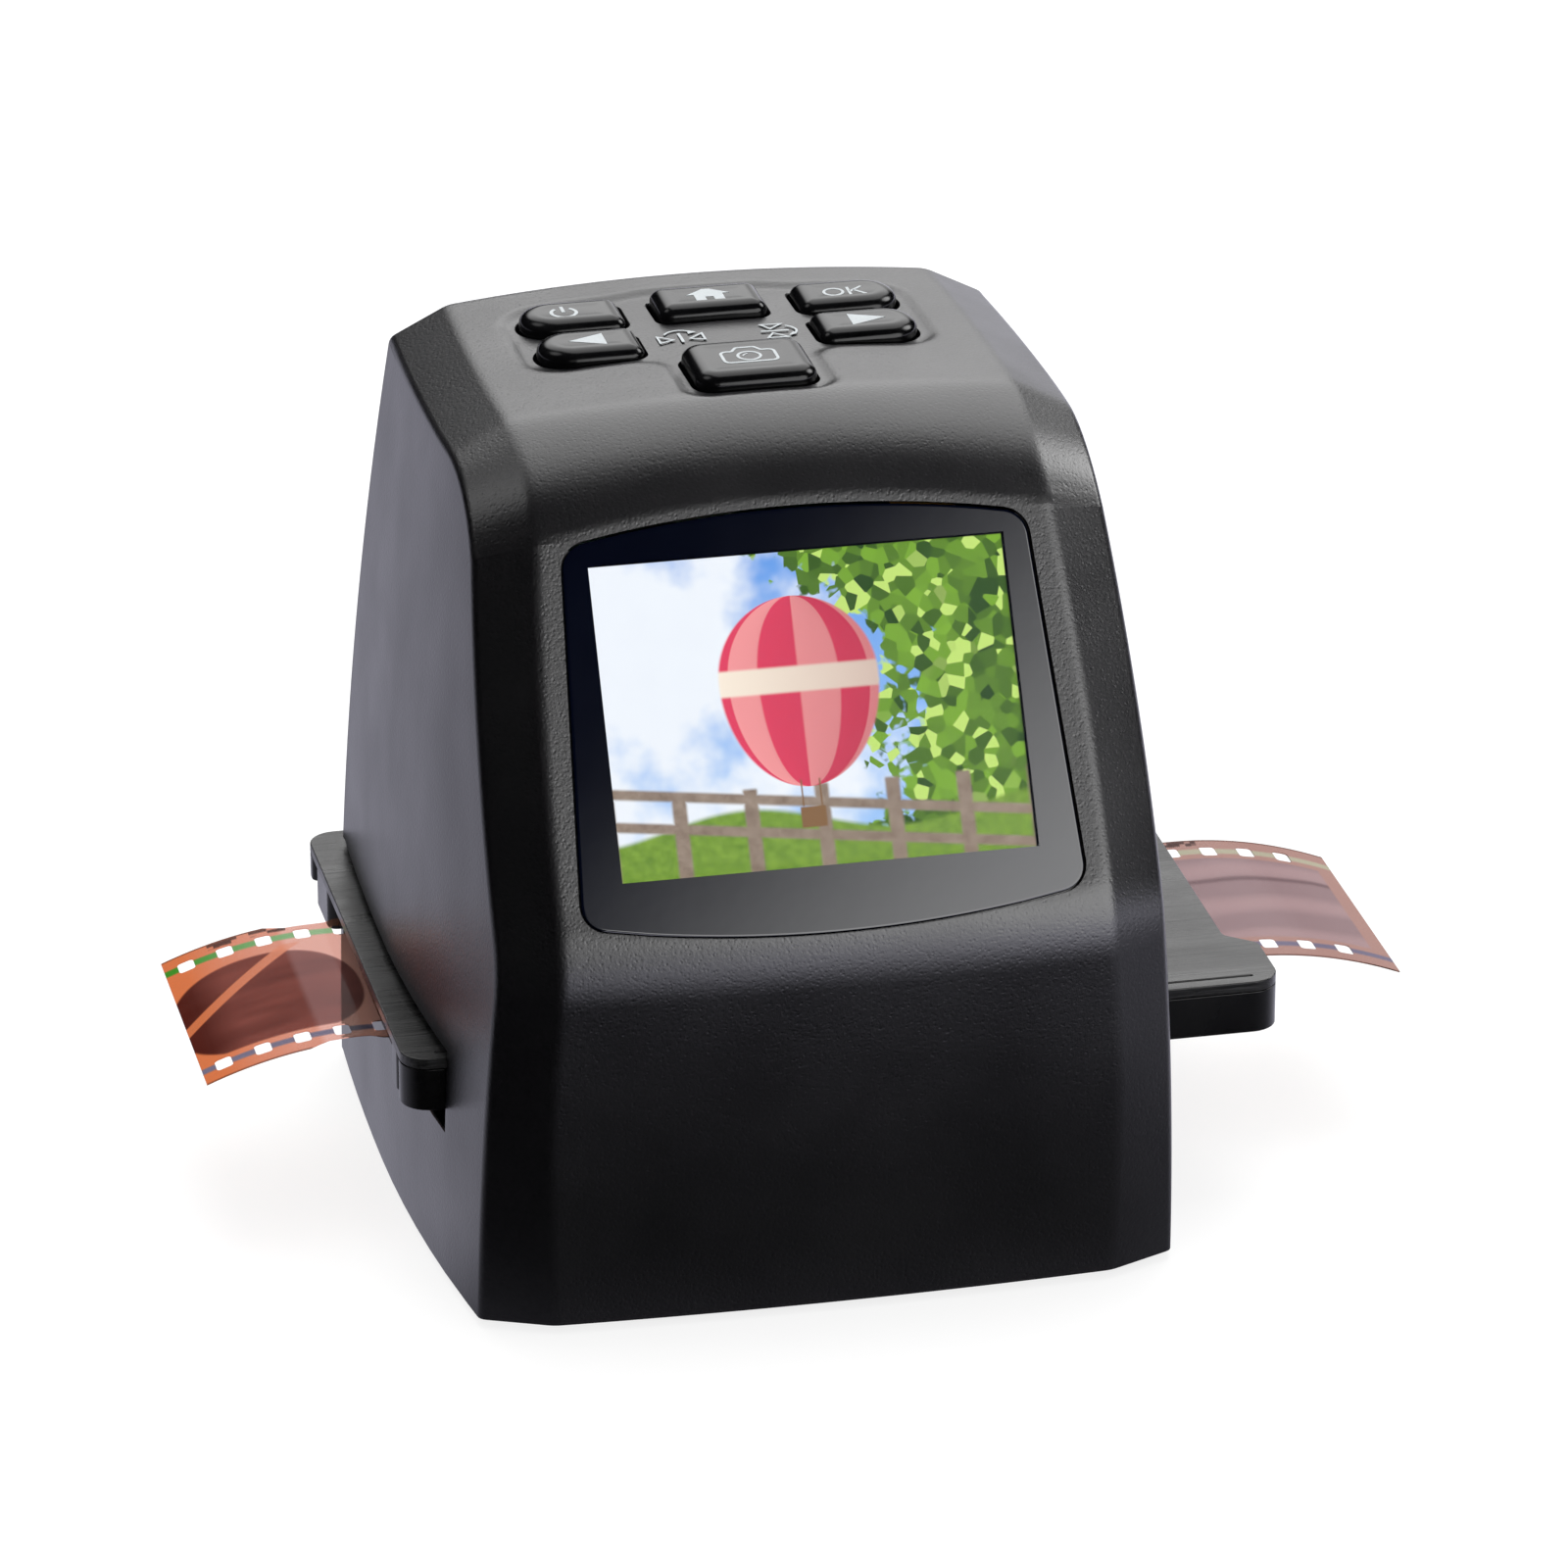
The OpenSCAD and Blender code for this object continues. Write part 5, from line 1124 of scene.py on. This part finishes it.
def tray_plate():
    outline = rounded([(-TRAY_LEFT, -TRAY_FRONT)] + TRAY_END + [(-TRAY_LEFT, TRAY_REAR)],
                      [TRAY_CORNER_R] + TRAY_END_RADII + [TRAY_CORNER_R], 8)
    form = Form()
    form.prism(outline, PLATE_Z, TRAY_TOP)
    plate = to_object("tray_plate", form, materials=[TRAY])
    gate = Form()
    gate.block((-GATE_L / 2, FILM_Y - GATE_W / 2, PLATE_Z - 1),
               (GATE_L / 2, FILM_Y + GATE_W / 2, TRAY_TOP + 1))
    groove = Form()
    groove.block((-TRAY_LEFT + 4, -TRAY_FRONT + 1.75, TRAY_TOP - 0.3),
                 (TRAY_RIGHT - 3.2, -TRAY_FRONT + 2.1, TRAY_TOP + 1))
    carve(plate, to_object("cut_gate", gate), to_object("cut_groove", groove))
    bevel(plate, 0.45, 4)
    shade(plate, 40)
    flow(plate)
    press = Form()
    half = GATE_L / 2 + GATE_RIM
    low, high = FILM_Z - FILM_T / 2 + FILM_T + 0.2, PLATE_Z + 0.1
    for x0, y0, x1, y1 in ((-half, MOUTH[0] + 0.3, -GATE_L / 2, MOUTH[1] - 0.3),
                           (GATE_L / 2, MOUTH[0] + 0.3, half, MOUTH[1] - 0.3),
                           (-GATE_L / 2, MOUTH[0] + 0.3, GATE_L / 2, FILM_Y - GATE_W / 2),
                           (-GATE_L / 2, FILM_Y + GATE_W / 2, GATE_L / 2, MOUTH[1] - 0.3)):
        press.block((x0, y0, low), (x1, y1, high))
    rim = to_object("tray_gate_rim", press, materials=[TRAY_SIDE])
    fit(rim, "tray")
    return fit(plate, "tray", ["tray_top_plate"])


def tray_frame():
    post, lobe, back = -TRAY_LEFT, LOBE_GAP / 4 - TRAY_LEFT, POST_SET - TRAY_LEFT
    rear_post, front_post = TRAY_REAR - POST_W, POST_W - TRAY_FRONT
    end = [(post, TRAY_REAR), (post, rear_post), (back, rear_post)]
    for high, low in LOBES:
        end += [(back, high), (lobe, high), (lobe, low), (back, low)]
    end += [(back, front_post), (post, front_post), (post, -TRAY_FRONT)]
    radii = [TRAY_CORNER_R, 1.0, 0] + [0, LOBE_R, LOBE_R, 0] * 2 + [0, LOBE_R, TRAY_CORNER_R]
    form = Form()
    form.prism(rounded(TRAY_END + end, TRAY_END_RADII + radii, 8), TRAY_Z, PLATE_Z - 0.06)
    body = to_object("tray_body", form, materials=[TRAY_SIDE])
    cuts = Form()
    half = GATE_L / 2 + GATE_RIM
    for x0, x1 in ((-70, -half), (half, 70)):
        cuts.block((x0, MOUTH[0], TRAY_Z - 1), (x1, MOUTH[1], PLATE_Z + 1))
    pit = Form()
    pit.block((-half - 1, MOUTH[0], FILM_Z - FILM_T * 1.5), (half + 1, MOUTH[1], PLATE_Z + 1))
    gate = Form()
    gate.block((-GATE_L / 2, FILM_Y - GATE_W / 2, TRAY_Z - 1), (GATE_L / 2, FILM_Y + GATE_W / 2, PLATE_Z + 1))
    short = Form()
    short.block((-60, TRAY_REAR - POST_W - LOBE_GAP / 2, TRAY_Z - 1), (back, 60, TRAY_Z + POST_LIFT))
    carve(body, to_object("cut_channels", cuts), to_object("cut_pit", pit), to_object("cut_gate", gate),
          to_object("cut_post", short))
    bevel(body, 0.5, 4)
    shade(body, 40)
    flow(body)
    return fit(body, "tray", ["tray_frame"])


def film_height(x):
    flat = (-TRAY_LEFT - 1.5, TRAY_RIGHT)
    if x < flat[0]:
        return FILM_Z - FILM_DROOP * ((flat[0] - x) / (FILM_LEFT + flat[0])) ** 2
    if x > flat[1]:
        return FILM_Z - FILM_DROOP * ((x - flat[1]) / (FILM_RIGHT - flat[1])) ** 2
    return FILM_Z


def film_strip():
    """The strip of negatives with its perforations and a notch near the tray's left end."""
    xs = [-FILM_LEFT + k * 1.25 for k in range(int((FILM_LEFT + FILM_RIGHT) / 1.25))] + [FILM_RIGHT]
    form = Form()
    half = FILM_W / 2
    rings = [[(x, FILM_Y - half, -FILM_T / 2), (x, FILM_Y + half, -FILM_T / 2),
              (x, FILM_Y + half, FILM_T / 2),
              (x, FILM_Y - half, FILM_T / 2)] for x in xs]
    form.loft(rings)
    strip = to_object("film_negative_strip", form, materials=[FILM])
    holes = Form()
    count = int((FILM_LEFT + FILM_RIGHT - 2) / PERF_PITCH)
    for k in range(count):
        x = -FILM_LEFT + 1.6 + k * PERF_PITCH
        for side in (-1, 1):
            y = FILM_Y + side * (half - PERF_EDGE - PERF_W / 2)
            holes.prism(rounded(rect(x, y - PERF_W / 2, x + PERF_L, y + PERF_W / 2), [0.45] * 4, 4), -2, 2)
    carve(strip, to_object("cut_perforations", holes))
    for vertex in strip.data.vertices:
        x, y, z = (c / MM for c in vertex.co)
        side = 1 if y > FILM_Y else -1
        depth = 1.1 * smooth((x + 55.6) / 1.6) * smooth((-46.5 - x) / 2.5)
        share = smooth((abs(y - FILM_Y) - half + 1.6) / 1.4)
        vertex.co = Vector((x, y - side * depth * share, z + film_height(x))) * MM
    strip.data.update()
    shade(strip, 50)
    return fit(strip, "film", ["film_strip"])


tray_plate()
tray_frame()
film_strip()


# ---- screws that show ----

def cross_screws(name, places, node):
    """Pan heads with a cross recess. places gives for each screw a function from local to row frame."""
    form = Form()
    for place in places:
        rings = [(0.99, -9.0), (0.99, -1.2), (1.85, -1.2), (1.9, -0.55), (1.7, -0.16), (1.3, -0.02)]
        form.loft([[place(r * math.cos(a), r * math.sin(a), z) for a in turn(32)] for r, z in rings])
    head = to_object(name, form, materials=[STEEL], sharp=30)
    cross = Form()
    for place in places:
        arm, wide = 1.15, 0.26
        plus = [(wide, wide), (arm, wide), (arm, -wide), (wide, -wide), (wide, -arm), (-wide, -arm),
                (-wide, -wide), (-arm, -wide), (-arm, wide), (-wide, wide), (-wide, arm), (wide, arm)]
        cross.loft([[place(x * k, y * k, z) for x, y in plus] for z, k in ((-0.8, 0.7), (0.5, 1.05))])
    carve(head, to_object("cut_cross", cross))
    shade(head, 30)
    return fit(head, "casing", [node])


cross_screws("rear_cross_screws",
             [lambda x, y, z, p=p: (p[0] + x, REAR_Y - 0.3 + z, p[1] - y) for p in REAR_SCREWS],
             "rear_screws")
BASE_SCREWS = [(-29, -33.5), (29, -33.5), (-37, 27), (37, 27)]
cross_screws("base_cross_screws",
             [lambda x, y, z, p=p: (p[0] + x, p[1] - y, -z) for p in BASE_SCREWS], "base_screws")


# ---- camera, light and floor ----

AZIMUTH, ELEVATION = math.radians(-12.60), math.radians(23.48)
SHIFT_RIGHT, SHIFT_UP, DISTANCE = -3.19, -43.88, 1078.45
back = Vector((math.sin(AZIMUTH) * math.cos(ELEVATION), -math.cos(AZIMUTH) * math.cos(ELEVATION),
               math.sin(ELEVATION)))
right = Vector((math.cos(AZIMUTH), math.sin(AZIMUTH), 0))
up = back.cross(right)
camera = bpy.data.objects.new("camera", bpy.data.cameras.new("camera"))
camera.data.sensor_width, camera.data.lens = 36, 203.9
camera.data.clip_start, camera.data.clip_end = 0.05, 20
camera.location = (back * DISTANCE - right * SHIFT_RIGHT - up * SHIFT_UP) * MM
camera.matrix_world = Matrix.Translation(camera.location) @ Matrix((right, up, back)).transposed().to_4x4()
scene.collection.objects.link(camera)
scene.camera = camera


def lamp(name, place, aim, size, power, tint=(1, 1, 1)):
    data = bpy.data.lights.new(name, "AREA")
    data.shape, data.size, data.size_y = "RECTANGLE", *size
    data.energy, data.color = power, tint
    obj = bpy.data.objects.new(name, data)
    obj.location = place
    obj.rotation_euler = (Vector(aim) - Vector(place)).to_track_quat("-Z", "Y").to_euler()
    obj.visible_camera = obj.visible_glossy = False
    scene.collection.objects.link(obj)
    return obj


lamp("top_box", (0.10, 0.30, 1.00), (0, 0, 0.05), (0.8, 0.8), 9.0)


def node(tree, kind, **inputs):
    """A shader node. Each input is a value or a socket, named as in Blender or i0, i1, i2, ..."""
    made = tree.nodes.new("ShaderNode" + kind)
    for key, value in inputs.items():
        name = int(key[1:]) if key[1:].isdigit() else key.replace("_", " ").title()
        if isinstance(value, bpy.types.NodeSocket):
            tree.links.new(value, made.inputs[name])
        else:
            made.inputs[name].default_value = value
    return made


def op(tree, operation, *values):
    made = node(tree, "Math", **{f"i{k}": value for k, value in enumerate(values)})
    made.operation = operation
    return made.outputs[0]


def ramp(tree, value, start, end, low=0.0, high=1.0):
    made = node(tree, "MapRange", value=value, from_min=start, from_max=end, to_min=low, to_max=high)
    made.interpolation_type = "SMOOTHSTEP"
    return made.outputs[0]


# Soft panels that glossy surfaces reflect: turn from +Y to the right, height, half width, soft rim, level
PANELS = ((14, 42, 26, 5, 3.4), (30, 60, 20, 5, 3.9), (76, 35, 12, 5, 12.5), (23, 6, 10, 5, 1.3),
          (150, 15, 24.6, 1.8, 7.0), (186, 20, 10, 5, 1.0), (-66, 58, 11, 6, 3.2))
FILL, DARK = 0.72, 0.0

world = bpy.data.worlds.new("studio")
world.use_nodes = True
world.cycles.sampling_method = "NONE"
scene.world = world
tree = world.node_tree
tree.nodes.clear()
path = node(tree, "LightPath")
direction = node(tree, "TexCoord").outputs["Generated"]
room = DARK
for side, rise, half, rim, level in PANELS:
    side, rise = math.radians(side), math.radians(rise)
    axis = (math.sin(side) * math.cos(rise), math.cos(side) * math.cos(rise), math.sin(rise))
    near = node(tree, "VectorMath", i0=direction, i1=axis)
    near.operation = "DOT_PRODUCT"
    edges = [math.cos(math.radians(half + k * rim)) for k in (1, -1)]
    room = op(tree, "MAXIMUM", room, ramp(tree, near.outputs["Value"], *edges, 0.0, level))
glossy = op(tree, "MULTIPLY", path.outputs["Is Glossy Ray"], op(tree, "SUBTRACT", room, FILL))
level = op(tree, "ADD", glossy, FILL)
seen = op(tree, "MAXIMUM", path.outputs["Is Camera Ray"], path.outputs["Is Transmission Ray"])
level = op(tree, "ADD", level, op(tree, "MULTIPLY", seen, op(tree, "SUBTRACT", 1.0, level)))
glow = node(tree, "Background", color=(1, 1, 1, 1), strength=level)
node(tree, "OutputWorld", surface=glow.outputs[0])

FLOOR, PAPER, PAPER_SEEN = 6.0, 0.25, 0.82
PAPER_TINT = (0.94, 0.93, 1.1, 1)
# Start, end and the levels there, in metres along Y or X, of the paper's brightness in a mirror
BEHIND, FRONT = (-0.06, -0.005, 0.02, 0.80), (-0.15, -0.26, 0.0, 3.6)
FRONT_SIDE, BESIDE = (-0.09, 0.0), (0.03, 0.14, 0.0, 0.6)
floor_mesh = bpy.data.meshes.new("floor")
floor_mesh.from_pydata([(x, y, -FOOT_H * MM) for x, y in rect(-FLOOR, -FLOOR, FLOOR, FLOOR)], [],
                       [(0, 1, 2, 3)])
floor = bpy.data.objects.new("floor", floor_mesh)
scene.collection.objects.link(floor)
paper = bpy.data.materials.new("paper")
paper.use_nodes = True
tree = paper.node_tree
shader = tree.nodes["Principled BSDF"]
path = node(tree, "LightPath")
tint = node(tree, "CombineColor")
for socket in tint.inputs:
    matt = op(tree, "SUBTRACT", 1.0, path.outputs["Is Glossy Ray"])
    tree.links.new(op(tree, "MULTIPLY", matt, PAPER), socket)
tree.links.new(tint.outputs[0], shader.inputs["Base Color"])
shader.inputs["Roughness"].default_value = 0.9
shader.inputs["Specular IOR Level"].default_value = 0.0
# In a mirror the paper is bright behind the object and far in front of it, dim near its front,
# and a little brighter to its right
spot = node(tree, "SeparateXYZ", i0=node(tree, "TexCoord").outputs["Object"])
behind = ramp(tree, spot.outputs["Y"], *BEHIND)
front = op(tree, "MULTIPLY", ramp(tree, spot.outputs["Y"], *FRONT),
           ramp(tree, spot.outputs["X"], *FRONT_SIDE))
beside = ramp(tree, spot.outputs["X"], *BESIDE)
seen = op(tree, "MAXIMUM", path.outputs["Is Camera Ray"], path.outputs["Is Transmission Ray"])
mirrored = op(tree, "ADD", op(tree, "ADD", behind, beside), front)
glow = op(tree, "ADD", op(tree, "MULTIPLY", seen, PAPER_SEEN),
          op(tree, "MULTIPLY", path.outputs["Is Glossy Ray"], mirrored))
color = node(tree, "Mix", i0=path.outputs["Is Glossy Ray"])
color.data_type = "RGBA"
color.inputs[6].default_value, color.inputs[7].default_value = (1, 1, 1, 1), PAPER_TINT
tree.links.new(color.outputs[2], shader.inputs["Emission Color"])
tree.links.new(glow, shader.inputs["Emission Strength"])
floor_mesh.materials.append(paper)
scene.view_settings.view_transform = "Standard"
